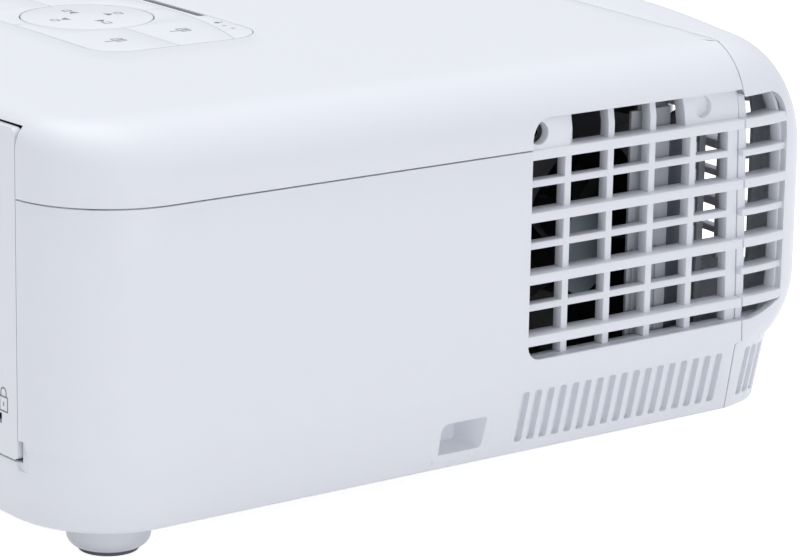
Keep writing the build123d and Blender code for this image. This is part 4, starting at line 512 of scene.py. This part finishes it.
# ---- Materials ----
def material(name, color, roughness=0.5, metallic=0.0, grain=900.0, bump=0.02, variation=0.03,
             transmission=0.0, coat=0.0):
    """A moulded or machined surface: a faint drift of tone and a fine grain."""
    mat = bpy.data.materials.new(name)
    mat.use_nodes = True
    tree = mat.node_tree
    shader = tree.nodes["Principled BSDF"]
    shader.inputs["Metallic"].default_value = metallic
    shader.inputs["Coat Weight"].default_value = coat
    shader.inputs["Transmission Weight"].default_value = transmission
    coords = tree.nodes.new("ShaderNodeTexCoord")
    drift = tree.nodes.new("ShaderNodeTexNoise")
    drift.inputs["Scale"].default_value = 14.0
    drift.inputs["Detail"].default_value = 3.0
    tree.links.new(coords.outputs["Object"], drift.inputs["Vector"])
    ramp = tree.nodes.new("ShaderNodeValToRGB")
    ramp.color_ramp.elements[0].position = 0.3
    ramp.color_ramp.elements[1].position = 0.7
    low = [c * (1 - variation) for c in color]
    high = [min(1.0, c * (1 + variation)) for c in color]
    ramp.color_ramp.elements[0].color = (*low, 1)
    ramp.color_ramp.elements[1].color = (*high, 1)
    tree.links.new(drift.outputs["Fac"], ramp.inputs["Fac"])
    tree.links.new(ramp.outputs["Color"], shader.inputs["Base Color"])
    fine = tree.nodes.new("ShaderNodeTexNoise")
    fine.inputs["Scale"].default_value = grain
    fine.inputs["Detail"].default_value = 2.0
    tree.links.new(coords.outputs["Object"], fine.inputs["Vector"])
    rough = tree.nodes.new("ShaderNodeMapRange")
    rough.inputs["To Min"].default_value = max(0.02, roughness - 0.04)
    rough.inputs["To Max"].default_value = min(1.0, roughness + 0.04)
    tree.links.new(fine.outputs["Fac"], rough.inputs["Value"])
    tree.links.new(rough.outputs["Result"], shader.inputs["Roughness"])
    relief = tree.nodes.new("ShaderNodeBump")
    relief.inputs["Strength"].default_value = bump
    relief.inputs["Distance"].default_value = 0.0003
    tree.links.new(fine.outputs["Fac"], relief.inputs["Height"])
    tree.links.new(relief.outputs["Normal"], shader.inputs["Normal"])
    return mat


WHITE = material("case_white", (0.80, 0.815, 0.86), 0.42, grain=2600.0, bump=0.05, variation=0.004)
KEY_WHITE = material("key_white", (0.82, 0.835, 0.88), 0.36, grain=2600.0, bump=0.03, variation=0.004)
WINDOW_DARK = material("window_dark", (0.012, 0.012, 0.016), 0.12, grain=1500.0, bump=0.01, coat=0.4)
BLACK = material("black_plastic", (0.012, 0.012, 0.014), 0.5, grain=1800.0, bump=0.08)
GREY = material("grey_plastic", (0.16, 0.17, 0.19), 0.55, grain=1600.0, bump=0.06)
SOCKET = material("socket_black", (0.02, 0.02, 0.022), 0.45, grain=1800.0)
RUBBER = material("rubber_dark", (0.13, 0.14, 0.165), 0.8, grain=1400.0, bump=0.25)
STEEL = material("plated_steel", (0.58, 0.585, 0.6), 0.32, 1.0, grain=700.0, bump=0.05)
SCREW = material("screw_steel", (0.05, 0.05, 0.055), 0.35, 1.0, grain=1200.0, bump=0.08)
CAST = material("cast_metal", (0.42, 0.43, 0.45), 0.5, 1.0, grain=900.0, bump=0.2)
BOARD = material("board_green", (0.01, 0.09, 0.04), 0.35, grain=300.0, bump=0.06)
GLASS = material("lens_glass", (0.8, 0.86, 0.95), 0.03, grain=50.0, bump=0.0, transmission=1.0, coat=0.6)
MIRROR = material("mirror_coat", (0.85, 0.86, 0.88), 0.06, 1.0, grain=60.0, bump=0.01)
TRAY = material("tray_grey", (0.03, 0.03, 0.034), 0.4, grain=1600.0, bump=0.05)
WHEEL = material("wheel_glass", (0.6, 0.7, 0.85), 0.05, grain=50.0, bump=0.0, transmission=0.7)
DUCT_LIGHT = material("duct_light", (0.42, 0.43, 0.47), 0.5, grain=1500.0, bump=0.05)
SLATE = material("duct_slate", (0.10, 0.11, 0.14), 0.45, grain=1500.0, bump=0.05)
LABEL = material("hub_label", (0.36, 0.42, 0.47), 0.35, grain=300.0, bump=0.02, variation=0.25)
INK = material("grey_ink", (0.20, 0.21, 0.23), 0.5, grain=900.0, bump=0.01)
SLOT_MATERIALS = {
    "case_white": WHITE, "key_white": KEY_WHITE, "dark_window": WINDOW_DARK, "black_plastic": BLACK,
    "grey_plastic": GREY, "socket_black": SOCKET, "rubber_dark": RUBBER, "plated_steel": STEEL,
    "screw_steel": SCREW, "cast_metal": CAST, "board_green": BOARD, "lens_glass": GLASS,
    "mirror_coat": MIRROR, "tray_grey": TRAY, "wheel_glass": WHEEL,
}


def dress_nodes():
    """Gives every CAD node its slot's material."""
    for entry in frame["record"]["subparts"]:
        node = NODES[entry["node"]]
        node.data.materials.clear()
        node.data.materials.append(SLOT_MATERIALS[entry["material_slot"]])


def finish_piece(obj, body, slot, replaces=(), look=None):
    """Paints a piece, ties it to its body and hides the CAD nodes that it replaces."""
    obj.data.materials.clear()
    obj.data.materials.append(look or SLOT_MATERIALS[slot])
    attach(obj, body)
    if replaces:
        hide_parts(*replaces)
    return obj


# ---- Case mouldings ----
def grille_rear(mirrored):
    """The rear end of a side grille."""
    return GRILLE_REAR - (5 - COLUMNS[mirrored]) * RIB_PITCH


def rib_fronts(mirrored):
    """The rear edges of a side grille's ribs."""
    return [FIRST_RIB - RIB_PITCH * k for k in range(5 - COLUMNS[mirrored], 4)]


def side_window(mirrored):
    """The cutter of a side grille's opening below and above the seam."""
    points = rounded((SEAM_Y - 4, grille_rear(mirrored)), (WINDOW_LOW, WINDOW_HIGH), (0, 4.5, 6.0, 0))
    sign = 1 if mirrored else -1
    return prism(points, sign * 140, sign * FAR, "x")


def panel_cut():
    """The opening of the rear panel."""
    return box((-PANEL_HALF, PANEL_HALF), (REAR - 8, FAR), PANEL_ROWS)


def panel_notch():
    """The shallow recess beside the panel's lower corner."""
    return prism(rounded((-141.0, -136.0), (27.7, 36.5), [1.5, 1.5, 1.0, 1.0]), REAR - 1.6, REAR + 10, "y")


def lower_case():
    """The lower half shell, cut for its grilles, panel, tray, slots and pocket."""
    case = shell("lower_case_shell")
    boolean(case, seam_side(False), "INTERSECT")
    boolean(case, box((-FAR, FAR), (-FAR, FAR), (-10, SEAM_Z - SEAM / 2)), "INTERSECT")
    boolean(case, box((-161, -149.6), (-2.8, 16.6), (14.5, 28.2)), "UNION")
    boolean(case, pocket_cut(), "DIFFERENCE")
    boolean(case, panel_cut(), "DIFFERENCE")
    boolean(case, panel_notch(), "DIFFERENCE")
    boolean(case, side_window(False), "DIFFERENCE")
    boolean(case, side_window(True), "DIFFERENCE")
    boolean(case, box((155, FAR), TRAY_SPAN, TRAY_ROWS), "DIFFERENCE")
    cutters = [flank_slot(y, mirrored) for mirrored in (False, True) for y in CASE_SLOTS]
    boolean(case, join(cutters, "slots"), "DIFFERENCE")
    soften(case, 0.3)
    smooth(case)
    return finish_piece(case, "case", "case_white", ["lower_case"])


def pocket_cut():
    """The tapering space of the security-bar pocket, with its rounded upper corners."""
    outline = rounded((-2.2, 16.2), (16.2, 27.5), (1.6, 0.3, 2.6, 1.2), 5)
    outer = [(-169, y, z) for y, z in outline]
    inner = [(-151.6, 7.4 + (y - 6.9) * 0.62, 20.6 + (z - 21.7) * 0.58) for y, z in outline]
    return between("pocket", outer, inner)


def s_at(y, z):
    """The distance along the outline where the form itself has a y, at a height."""
    low, high = sum(LENGTHS[:2]), sum(LENGTHS[:5])
    for _ in range(40):
        middle = (low + high) / 2
        low, high = (middle, high) if surface(middle, z, 0)[1] > y else (low, middle)
    return low


def flank_slot(y, mirrored):
    """The cutter of one upright slot, leaning and turning with the flank."""
    middle = s_at(y, 24.0)
    turn = abs(surface(middle + 0.5, 24, 0)[1] - surface(middle - 0.5, 24, 0)[1])
    half = SLOT_HALF / max(0.35, turn)
    points = rounded((-half, half), SLOT_ROWS, [SLOT_CORNER] * 4, 4)
    outer, inner = ([surface(middle + ds, z, inset, mirrored) for ds, z in points] for inset in (-1.5, SLOT_DEPTH))
    return between("slot", outer, inner)


def keypad_outline(spare):
    """The keypad's rounded rectangle, grown by a clearance."""
    x = (KEYPAD_X[0] - spare, KEYPAD_X[1] + spare)
    y = (KEYPAD_Y[0] - spare, KEYPAD_Y[1] + spare)
    return rounded(x, y, [13 + spare] * 2 + [10 + spare] * 2, 10)


def top_cover():
    """The one-piece cover."""
    cover = shell("top_cover_shell")
    boolean(cover, seam_side(False), "INTERSECT")
    boolean(cover, box((-FAR, FAR), (-FAR, FAR), (SEAM_Z + SEAM / 2, FAR)), "INTERSECT")
    boolean(cover, prism(keypad_outline(0.35), 100, 140, "z"), "DIFFERENCE")
    boolean(cover, panel_cut(), "DIFFERENCE")
    boolean(cover, side_window(False), "DIFFERENCE")
    boolean(cover, side_window(True), "DIFFERENCE")
    soften(cover, 0.35)
    smooth(cover)
    return finish_piece(cover, "case", "case_white", ["top_cover"])


def side_grille(mirrored):
    """One side grille's bars, ribs, screw blocks and deep frame."""
    rear = grille_rear(mirrored)
    deep, shallow = (0, BAR_DEPTH), (RIB_RECESS, RIB_RECESS + RIB_DEPTH)
    thin = (RIB_RECESS + 0.05, RIB_RECESS + RIB_DEPTH - 0.05)

    def to_seam(y):
        def span(z):
            return s_of_y(y), behind_seam(z)
        return span

    def wide(z):
        return s_of_y(-89.3 - 0.0255 * (91 - z)), behind_seam(z)

    pieces = [slab("bar", to_seam(rear), (low, low + BAR), deep, mirrored, 8) for low in BAR_LOWS]
    pieces += [slab("thin", to_seam(rear), (low, low + THIN_BAR), thin, mirrored, 8) for low in THIN_LOWS]
    for y in rib_fronts(mirrored):
        span = (s_of_y(y), s_of_y(y - RIB))
        pieces.append(slab("rib", span, (WINDOW_LOW, WINDOW_HIGH), shallow, mirrored, 2, 16))
    pieces.append(slab("wide_rib", wide, (WINDOW_LOW, WINDOW_HIGH), shallow, mirrored, 3, 16))
    frame_rear = (s_of_y(rear + 2.2), s_of_y(rear))
    behind_wall = (WALL - 0.1, BAR_DEPTH)
    pieces.append(slab("edge", frame_rear, (WINDOW_LOW - 2, SEAM_Z - 0.3), behind_wall, mirrored, 2, 4))
    pieces.append(slab("sill", to_seam(rear + 2.2), (WINDOW_LOW - 2, WINDOW_LOW), behind_wall, mirrored, 6))
    for piece in pieces:
        soften(piece, 0.3)
    pieces += screw_blocks(mirrored)
    grille = smooth(join(pieces, "side_grille_left" if mirrored else "side_grille_right"))
    return finish_piece(grille, "case", "case_white")


def screw_blocks(mirrored):
    """The two solid blocks of the top row: one with its screw's well, one with a shallow dimple."""
    rear = grille_rear(mirrored)
    rows = (SEAM_Z - 0.5, WINDOW_HIGH - 0.3)
    sign = 1 if mirrored else -1
    back = slab("block", (s_of_y(rear - 0.3), s_of_y(rear - 14.2)), rows, (1.0, BAR_DEPTH), mirrored, 4, 14)
    well = prism(circle(rear - 2.9, SCREW_Z + 0.2, 3.3, 40), sign * (HALF - BAR_DEPTH + 1.4), sign * FAR, "x")
    boolean(back, well, "DIFFERENCE")

    def leaning(z):
        return s_of_y(-71.1 - 0.13 * (WINDOW_HIGH - z)), behind_seam(z)

    front = slab("block", leaning, rows, (RIB_RECESS - 0.1, BAR_DEPTH), mirrored, 6, 14)
    dimple = prism(circle(-78.9, SCREW_Z + 0.4, 3.2, 40), sign * (HALF - RIB_RECESS - 1.9), sign * FAR, "x")
    boolean(front, dimple, "DIFFERENCE")
    return [soften(back, 0.3), soften(front, 0.3)]


def bezel():
    """The front moulding's shell, cut for its windows, lens, ring access and receiver."""
    shape = shell("front_bezel_shell")
    boolean(shape, seam_side(True), "INTERSECT")
    low, high = BAR_LOWS[-1] + BAR, SEAM_Z + 7.0
    cutters = [
        prism(rounded(FRONT_CELLS, (low, high), [2.5] * 4), NOSE - 20, SEAM_Y - 22, "y"),
        prism(circle(LENS_X, LENS_Z, HOOD_BORE, 96), NOSE - 20, SEAM_Y - 6, "y"),
        prism(rounded(RING_X, RING_Y, [4] * 4), 98, 150, "z"),
        prism(rounded(IR_X, IR_Z, [3] * 4), NOSE - 20, -100, "y"),
    ]
    for mirrored in (False, True):
        sign = 1 if mirrored else -1
        cutters.append(bezel_side_window(mirrored))
        cutters.append(box((sign * 140, sign * FAR), (BEZEL_CELL[1] - 1.5, SEAM_Y + 4), (WINDOW_LOW, BEZEL_HIGH)))
        cutters += [flank_slot(y, mirrored) for y in BEZEL_SLOTS]
    boolean(shape, join(cutters, "openings"), "DIFFERENCE", True)
    soften(shape, 0.3)
    smooth(shape)
    return finish_piece(shape, "case", "case_white", ["front_bezel"])


def bezel_side_window(mirrored):
    """The cutter of the bezel's column of cells: a crescent foot and a large rounded front top corner."""
    front, rear = BEZEL_CELL
    foot = BAR_LOWS[-1]
    points = [(rear + 0.02, WINDOW_LOW), (rear + 0.02, BEZEL_HIGH)]
    corner = 7.0
    for k in range(9):
        turn = pi / 2 * k / 8
        points.append((front + corner - corner * sin(turn), BEZEL_HIGH - corner + corner * cos(turn)))
    points.append((front, foot))
    for k in range(1, 8):
        t = k / 8
        points.append((front + (rear - front) * t, foot - (foot - WINDOW_LOW) * (1 - (1 - t) ** 1.6)))
    sign = 1 if mirrored else -1
    return prism(points, sign * 138, sign * FAR, "x")


def bezel_grille(mirrored):
    """The bezel's bars round the side cells, with the rib beside the seam."""
    s_front = s_of_y(BEZEL_CELL[0])
    pieces = []

    def to_front(z):
        return before_seam(z), s_front + 1

    def rib(z):
        return before_seam(z), s_of_y(-96.4 - 0.03 * (105 - z))

    def sill(z):
        return before_seam(z), s_front

    for low in BAR_LOWS:
        pieces.append(slab("bar", to_front, (low, low + BAR), (0, BAR_DEPTH), mirrored, 16))
    thin = (BEZEL_THIN_INSET, BAR_DEPTH - 0.3)
    for low in THIN_LOWS:
        pieces.append(slab("thin", to_front, (low, low + THIN_BAR), thin, mirrored, 16))
    pieces.append(slab("rib", rib, (WINDOW_LOW, WINDOW_HIGH - 0.3), (RIB_RECESS, BAR_DEPTH), mirrored, 3, 16))
    s_cells = s_of_x(FRONT_CELLS[0])
    for post in ((s_front, s_front + 2.2), (s_cells - 2.2, s_cells)):
        pieces.append(slab("post", post, (WINDOW_LOW - 2, BEZEL_HIGH), (WALL - 0.1, BAR_DEPTH - 1), mirrored, 3, 18))
    pieces.append(slab("sill", sill, (WINDOW_LOW - 2, WINDOW_LOW), (WALL - 0.1, BAR_DEPTH), mirrored, 8))
    for piece in pieces:
        soften(piece, 0.3)
    grille = smooth(join(pieces, "bezel_grille_left" if mirrored else "bezel_grille_right"))
    return finish_piece(grille, "case", "case_white")


def front_grille():
    """The bars and ribs of the front grille."""
    run = (s_of_x(FRONT_CELLS[0]), s_of_x(FRONT_CELLS[1]))
    pieces = []
    for low in BAR_LOWS[:3]:
        pieces.append(slab("bar", run, (low, low + BAR), (0, BAR_DEPTH), False, 20))
    for low in THIN_LOWS:
        pieces.append(slab("thin", run, (low, low + THIN_BAR), (RIB_RECESS + 0.05, BAR_DEPTH - 0.3), False, 20))
    for k in range(1, 7):
        x = FRONT_CELLS[0] + RIB_PITCH * k
        span = (s_of_x(x - RIB), s_of_x(x))
        rows = (BAR_LOWS[-1] + BAR - 1, SEAM_Z + 7.2)
        pieces.append(slab("rib", span, rows, (RIB_RECESS, BAR_DEPTH), False, 2, 12))
    for piece in pieces:
        soften(piece, 0.4)
    grille = smooth(join(pieces, "front_grille"))
    return finish_piece(grille, "case", "case_white")


def plate(name, path, z, thick=1.2):
    """An upright sheet that follows a path seen from above."""
    left, right = [], []
    for i, (x, y) in enumerate(path):
        a, b = path[max(0, i - 1)], path[min(len(path) - 1, i + 1)]
        run = hypot(b[0] - a[0], b[1] - a[1])
        nx, ny = -(b[1] - a[1]) / run * thick / 2, (b[0] - a[0]) / run * thick / 2
        left.append((x + nx, y + ny))
        right.append((x - nx, y - ny))
    return prism(left + right[::-1], z[0], z[1], "z", name)


def duct():
    """The duct's cheek between the exhaust fan and the grille, with its slats, and the fan's round hub label."""
    cheek = plate("duct_cheek", [(-157, -56.3), (-157, -64), (-156.6, -71.6)], (14.7, 107))
    groove = [box((-160, -156.9), (y, y + 1.0), (20, 66)) for y in (-58.4, -61.4, -64.4, -67.4)]
    boolean(cheek, join(groove, "grooves"), "DIFFERENCE")
    cheek = smooth(soften(cheek, 0.25))
    finish_piece(cheek, "case", "grey_plastic", look=DUCT_LIGHT)
    inner = plate("duct_inner", [(-155.9, -72.2), (-151, -79.6), (-145, -88.4)], (14.7, 104))
    finish_piece(smooth(soften(inner, 0.25)), "case", "grey_plastic", look=SLATE)
    stay = plate("duct_stay", [(-145, -93.9), (-144.8, -96.6)], (14.7, 104))
    finish_piece(smooth(soften(stay, 0.25)), "case", "grey_plastic", look=DUCT_LIGHT)
    way = Vector((cos(radians(FAN_TURN)), sin(radians(FAN_TURN)), 0))
    hub = Vector(FAN_CENTRE) - way * 10.2
    profile = [(0.01, -0.25), (12.6, -0.25), (13.0, -0.1), (13.0, 0.0), (0.01, 0.0)]
    label = lathe(profile, hub, -way, "fan_label", 64)
    finish_piece(smooth(label), "case", "grey_plastic", look=LABEL)


def hood():
    """The round tunnel round the lens."""
    outer = prism(circle(LENS_X, LENS_Z, HOOD_BORE + HOOD_WALL, 96), NOSE - 5, SEAM_Y - 10, "y", "lens_hood")
    boolean(outer, prism(circle(LENS_X, LENS_Z, HOOD_BORE, 96), NOSE - 20, SEAM_Y, "y"), "DIFFERENCE")
    boolean(outer, case_solid(0.3, "limit"), "INTERSECT")
    smooth(outer)
    return finish_piece(outer, "case", "case_white")


def ring_well():
    """The skirt that hangs from the edge of the ring window down to the hood."""
    x, y = ((span[0] - RING_WALL, span[1] + RING_WALL) for span in (RING_X, RING_Y))
    skirt = prism(rounded(x, y, [4 + RING_WALL] * 4), 103.5, 119.3, "z", "ring_well")
    boolean(skirt, prism(rounded(RING_X, RING_Y, [4] * 4), 90, 130, "z"), "DIFFERENCE")
    return finish_piece(smooth(skirt), "case", "case_white")


# ---- Keypad's pieces ----
def crown_plate(thick, name):
    """A plate of the crowned top over the keypad's area."""
    xs = [-95 + 120 * i / 40 for i in range(41)]
    ys = (15, 86)
    verts = [(x, y, crown(x) - drop) for drop in (0, thick) for y in ys for x in xs]
    count = len(xs)
    faces = []
    for i in range(count - 1):
        faces.append((i, i + 1, count + i + 1, count + i))
        faces.append(tuple(2 * count + v for v in (i, count + i, count + i + 1, i + 1)))
        for row in (0, count):
            a = row + i
            faces.append((a, a + 1, 2 * count + a + 1, 2 * count + a))
    for i in (0, count - 1):
        faces.append((i, count + i, 3 * count + i, 2 * count + i))
    return recalc(new_object(name, verts, faces))


def strip_outline(spare):
    """The keypad's area in front of the curved divider."""
    points = []
    for k in range(33):
        dx = -60 + 120 * k / 32
        points.append((PAD[0] + dx, STRIP_Y + spare + STRIP_RADIUS - sqrt(STRIP_RADIUS ** 2 - dx * dx)))
    return points + [(PAD[0] + 60, 10), (PAD[0] - 60, 10)]


def upright(points):
    """A cutter through the top."""
    return prism(points, 100, 140, "z")


def pad_piece(node, thick, cuts, body):
    """A piece of the keypad: the crowned plate cut by a list of (operation, cutter)."""
    piece = crown_plate(thick, node + "_cap")
    for operation, cutter in cuts:
        boolean(piece, cutter, operation)
    soften(piece, 0.3)
    smooth(piece)
    return finish_piece(piece, body, "key_white", [node])


def keypad():
    """Four corner keys, the direction pad and the fixed front strip."""
    x, y = PAD
    for (sx, sy), name in KEYS.items():
        near_x, near_y = x + sx * KEY_GAP / 2, y + sy * KEY_GAP / 2
        far_x, far_y = x + sx * 90, y + sy * 90
        quarter = [(near_x, near_y), (far_x, near_y), (far_x, far_y), (near_x, far_y)]
        cuts = [
            ("INTERSECT", upright(keypad_outline(0))),
            ("INTERSECT", upright(quarter)),
            ("DIFFERENCE", upright(strip_outline(KEY_GAP / 2))),
            ("DIFFERENCE", upright(circle(x, y, DISC + 0.5, 96))),
        ]
        pad_piece(name, 2.0, cuts, name)
    pad_piece("direction_pad", 2.2, [("INTERSECT", upright(circle(x, y, DISC, 96)))], "direction_pad")
    window = rounded((x - 16, x + 16), (18.0, 22.5), [0, 0, 1.0, 1.0])
    cuts = [
        ("INTERSECT", upright(keypad_outline(0))),
        ("INTERSECT", upright(strip_outline(-KEY_GAP / 2))),
        ("DIFFERENCE", upright(window)),
    ]
    cuts += [("DIFFERENCE", upright(circle(lamp_x, LAMP_Y, LAMP_RADIUS, 20))) for lamp_x in LAMP_XS]
    pad_piece("status_strip", 3.0, cuts, "case")


def ink_on_top(name, shapes, body):
    """Printed marks on the crowned keypad: closed outlines in x and y."""
    pieces = []
    for points in shapes:
        upper, lower = ([(x, y, crown(x) + lift) for x, y in points] for lift in (INK_LIFT, -0.1))
        pieces.append(between(name, upper, lower))
    return finish_piece(join(pieces, name), body, "grey_plastic", look=INK)


def stroke(a, b, width=0.45):
    """A printed line as a thin outline."""
    run = hypot(b[0] - a[0], b[1] - a[1])
    nx, ny = -(b[1] - a[1]) / run * width / 2, (b[0] - a[0]) / run * width / 2
    return [(a[0] + nx, a[1] + ny), (b[0] + nx, b[1] + ny), (b[0] - nx, b[1] - ny), (a[0] - nx, a[1] - ny)]


def frame_mark(cx, cy, w, h, width=0.4):
    """The four sides of a small printed box."""
    x, y = (cx - w / 2, cx + w / 2), (cy - h / 2, cy + h / 2)
    corners = [(x[0], y[0]), (x[1], y[0]), (x[1], y[1]), (x[0], y[1])]
    return [stroke(a, b, width) for a, b in zip(corners, corners[1:] + corners[:1])]


def pad_marks():
    """Arrows round the direction pad and plain symbols on the keys."""
    x, y = PAD
    reach, marks = 7.6, []
    for ux, uy in ((0, -1), (-1, 0), (0, 1), (1, 0)):
        cx, cy = x + ux * reach, y + uy * reach
        tip = (cx + ux * 1.5, cy + uy * 1.5)
        base = [(cx - ux + uy * s * 1.7, cy - uy - ux * s * 1.7) for s in (1, -1)]
        marks.append([tip] + base)
        marks += frame_mark(cx + ux * 3.4, cy + uy * 3.4, 2.0 + 0.4 * abs(uy), 2.0 + 0.4 * abs(ux), 0.35)
    ink_on_top("direction_marks", marks, "direction_pad")
    for name, cx, cy in (("key_front_right", -67.5, 39.3), ("key_rear_right", -70.6, 63.6)):
        marks = [stroke((cx, cy - 3.6), (cx, cy + 3.6), 0.5), stroke((cx - 1.4, cy - 3.0), (cx - 1.4, cy + 0.6), 0.5)]
        marks += frame_mark(cx + 1.6, cy - 1.5, 1.6, 3.2, 0.35)
        ink_on_top(name + "_mark", marks, name)
    for name, cx, cy in (("key_front_left", -4.4, 39.3), ("key_rear_left", -1.4, 63.6)):
        marks = [stroke((cx, cy - 3.2), (cx, cy + 3.2), 0.5)] + frame_mark(cx - 1.8, cy, 1.6, 3.2, 0.35)
        ink_on_top(name + "_mark", marks, name)
    lamp = [circle(-63.0, 23.4, 0.9, 20), stroke((-63.0, 21.6), (-63.0, 22.2), 0.7)]
    ink_on_top("lamp_mark", lamp, "case")


def lock_mark():
    """A printed padlock beside the lock slot of the rear panel."""
    cx, y = -130.5, REAR - 0.3
    lines = []
    body = [(-2, 42.8), (2, 42.8), (2, 46.8), (-2, 46.8)]
    for a, b in list(zip(body, body[1:] + body[:1])) + [((0, 44.2), (0, 45.4))]:
        lines.append(stroke((cx + a[0], a[1]), (cx + b[0], b[1]), 0.45))
    arc = [(cx + 1.35 * cos(pi * k / 10), 47.9 + 1.35 * sin(pi * k / 10)) for k in range(11)]
    arc = [(arc[0][0], 46.8)] + arc + [(arc[-1][0], 46.8)]
    lines += [stroke(a, b, 0.42) for a, b in zip(arc, arc[1:])]
    pieces = [prism(line, y - 0.1, y + 0.04, "y", "lock_mark") for line in lines]
    finish_piece(join(pieces, "lock_mark"), "case", "grey_plastic", look=INK)


# ---- Stage, light and camera ----
def floor():
    """A plain pale floor that keeps the object's shadow."""
    size = 4000.0
    corners = [(-size, -size, 0), (size, -size, 0), (size, size, 0), (-size, size, 0)]
    plane = new_object("floor", corners, [(0, 1, 2, 3)])
    mat = bpy.data.materials.new("floor_white")
    mat.use_nodes = True
    tree = mat.node_tree
    shader = tree.nodes["Principled BSDF"]
    shader.inputs["Base Color"].default_value = (0.86, 0.86, 0.87, 1)
    shader.inputs["Roughness"].default_value = 0.9
    path = tree.nodes.new("ShaderNodeLightPath")
    either = tree.nodes.new("ShaderNodeMath")
    either.operation = "MAXIMUM"
    tree.links.new(path.outputs["Is Camera Ray"], either.inputs[0])
    tree.links.new(path.outputs["Is Glossy Ray"], either.inputs[1])
    glow = tree.nodes.new("ShaderNodeEmission")
    glow.inputs["Color"].default_value = (1, 1, 1, 1)
    scale = tree.nodes.new("ShaderNodeMath")
    scale.operation = "MULTIPLY"
    scale.inputs[1].default_value = 0.8
    tree.links.new(either.outputs[0], scale.inputs[0])
    tree.links.new(scale.outputs[0], glow.inputs["Strength"])
    add = tree.nodes.new("ShaderNodeAddShader")
    tree.links.new(shader.outputs[0], add.inputs[0])
    tree.links.new(glow.outputs[0], add.inputs[1])
    tree.links.new(add.outputs[0], tree.nodes["Material Output"].inputs["Surface"])
    plane.data.materials.append(mat)


def world(strength):
    """An even pale surround, white to the camera."""
    scene_world = bpy.data.worlds.new("studio")
    bpy.context.scene.world = scene_world
    scene_world.use_nodes = True
    tree = scene_world.node_tree
    back = tree.nodes["Background"]
    back.inputs["Color"].default_value = (0.94, 0.96, 1.0, 1)
    path = tree.nodes.new("ShaderNodeLightPath")
    mix = tree.nodes.new("ShaderNodeMix")
    mix.inputs[2].default_value = strength
    mix.inputs[3].default_value = 1.0
    tree.links.new(path.outputs["Is Camera Ray"], mix.inputs[0])
    tree.links.new(mix.outputs[0], back.inputs["Strength"])


def area_light(name, place, target, size, power):
    """A soft box that looks at a point."""
    light = bpy.data.lights.new(name, "AREA")
    light.shape = "RECTANGLE"
    light.size, light.size_y = size
    light.energy = power
    obj = bpy.data.objects.new(name, light)
    bpy.context.scene.collection.objects.link(obj)
    obj.location = place
    obj.rotation_euler = (Vector(target) - Vector(place)).to_track_quat("-Z", "Y").to_euler()
    return obj


def camera():
    """The photograph's viewpoint."""
    yaw, pitch, roll = 0.65246, 0.25098, 0.016592
    focal_pixels, image_width = 3593.9, 800.0
    place = Vector((-922.53, 611.01, 315.58)) * MM
    level = Vector((cos(yaw), -sin(yaw), 0))
    up = Vector((0, 0, 1))
    forward = level * cos(pitch) - up * sin(pitch)
    right = forward.cross(up).normalized()
    above = right.cross(forward)
    right_rolled = right * cos(roll) + above * sin(roll)
    above_rolled = -right * sin(roll) + above * cos(roll)
    data = bpy.data.cameras.new("camera")
    data.sensor_fit = "HORIZONTAL"
    data.sensor_width = 36.0
    data.lens = focal_pixels * 36.0 / image_width
    data.clip_start = 0.05
    data.clip_end = 50.0
    obj = bpy.data.objects.new("camera", data)
    bpy.context.scene.collection.objects.link(obj)
    rotation = Matrix((right_rolled, above_rolled, -forward)).transposed()
    obj.matrix_world = Matrix.Translation(place) @ rotation.to_4x4()
    bpy.context.scene.camera = obj


def main():
    """Dresses the nodes, adds the pieces and sets the stage."""
    dress_nodes()
    lower_case()
    top_cover()
    bezel()
    for mirrored in (False, True):
        side_grille(mirrored)
        bezel_grille(mirrored)
    front_grille()
    hood()
    ring_well()
    duct()
    keypad()
    pad_marks()
    lock_mark()
    floor()
    world(0.65)
    area_light("key", (0.1, 0.1, 2.0), (0.05, 0, 0.08), (1.6, 1.6), 20.0)
    area_light("side", (-1.85, 0.1, 0.1), (0, 0, 0.06), (1.2, 0.5), 5.6)
    camera()
    bpy.context.scene.view_settings.view_transform = "Standard"


main()
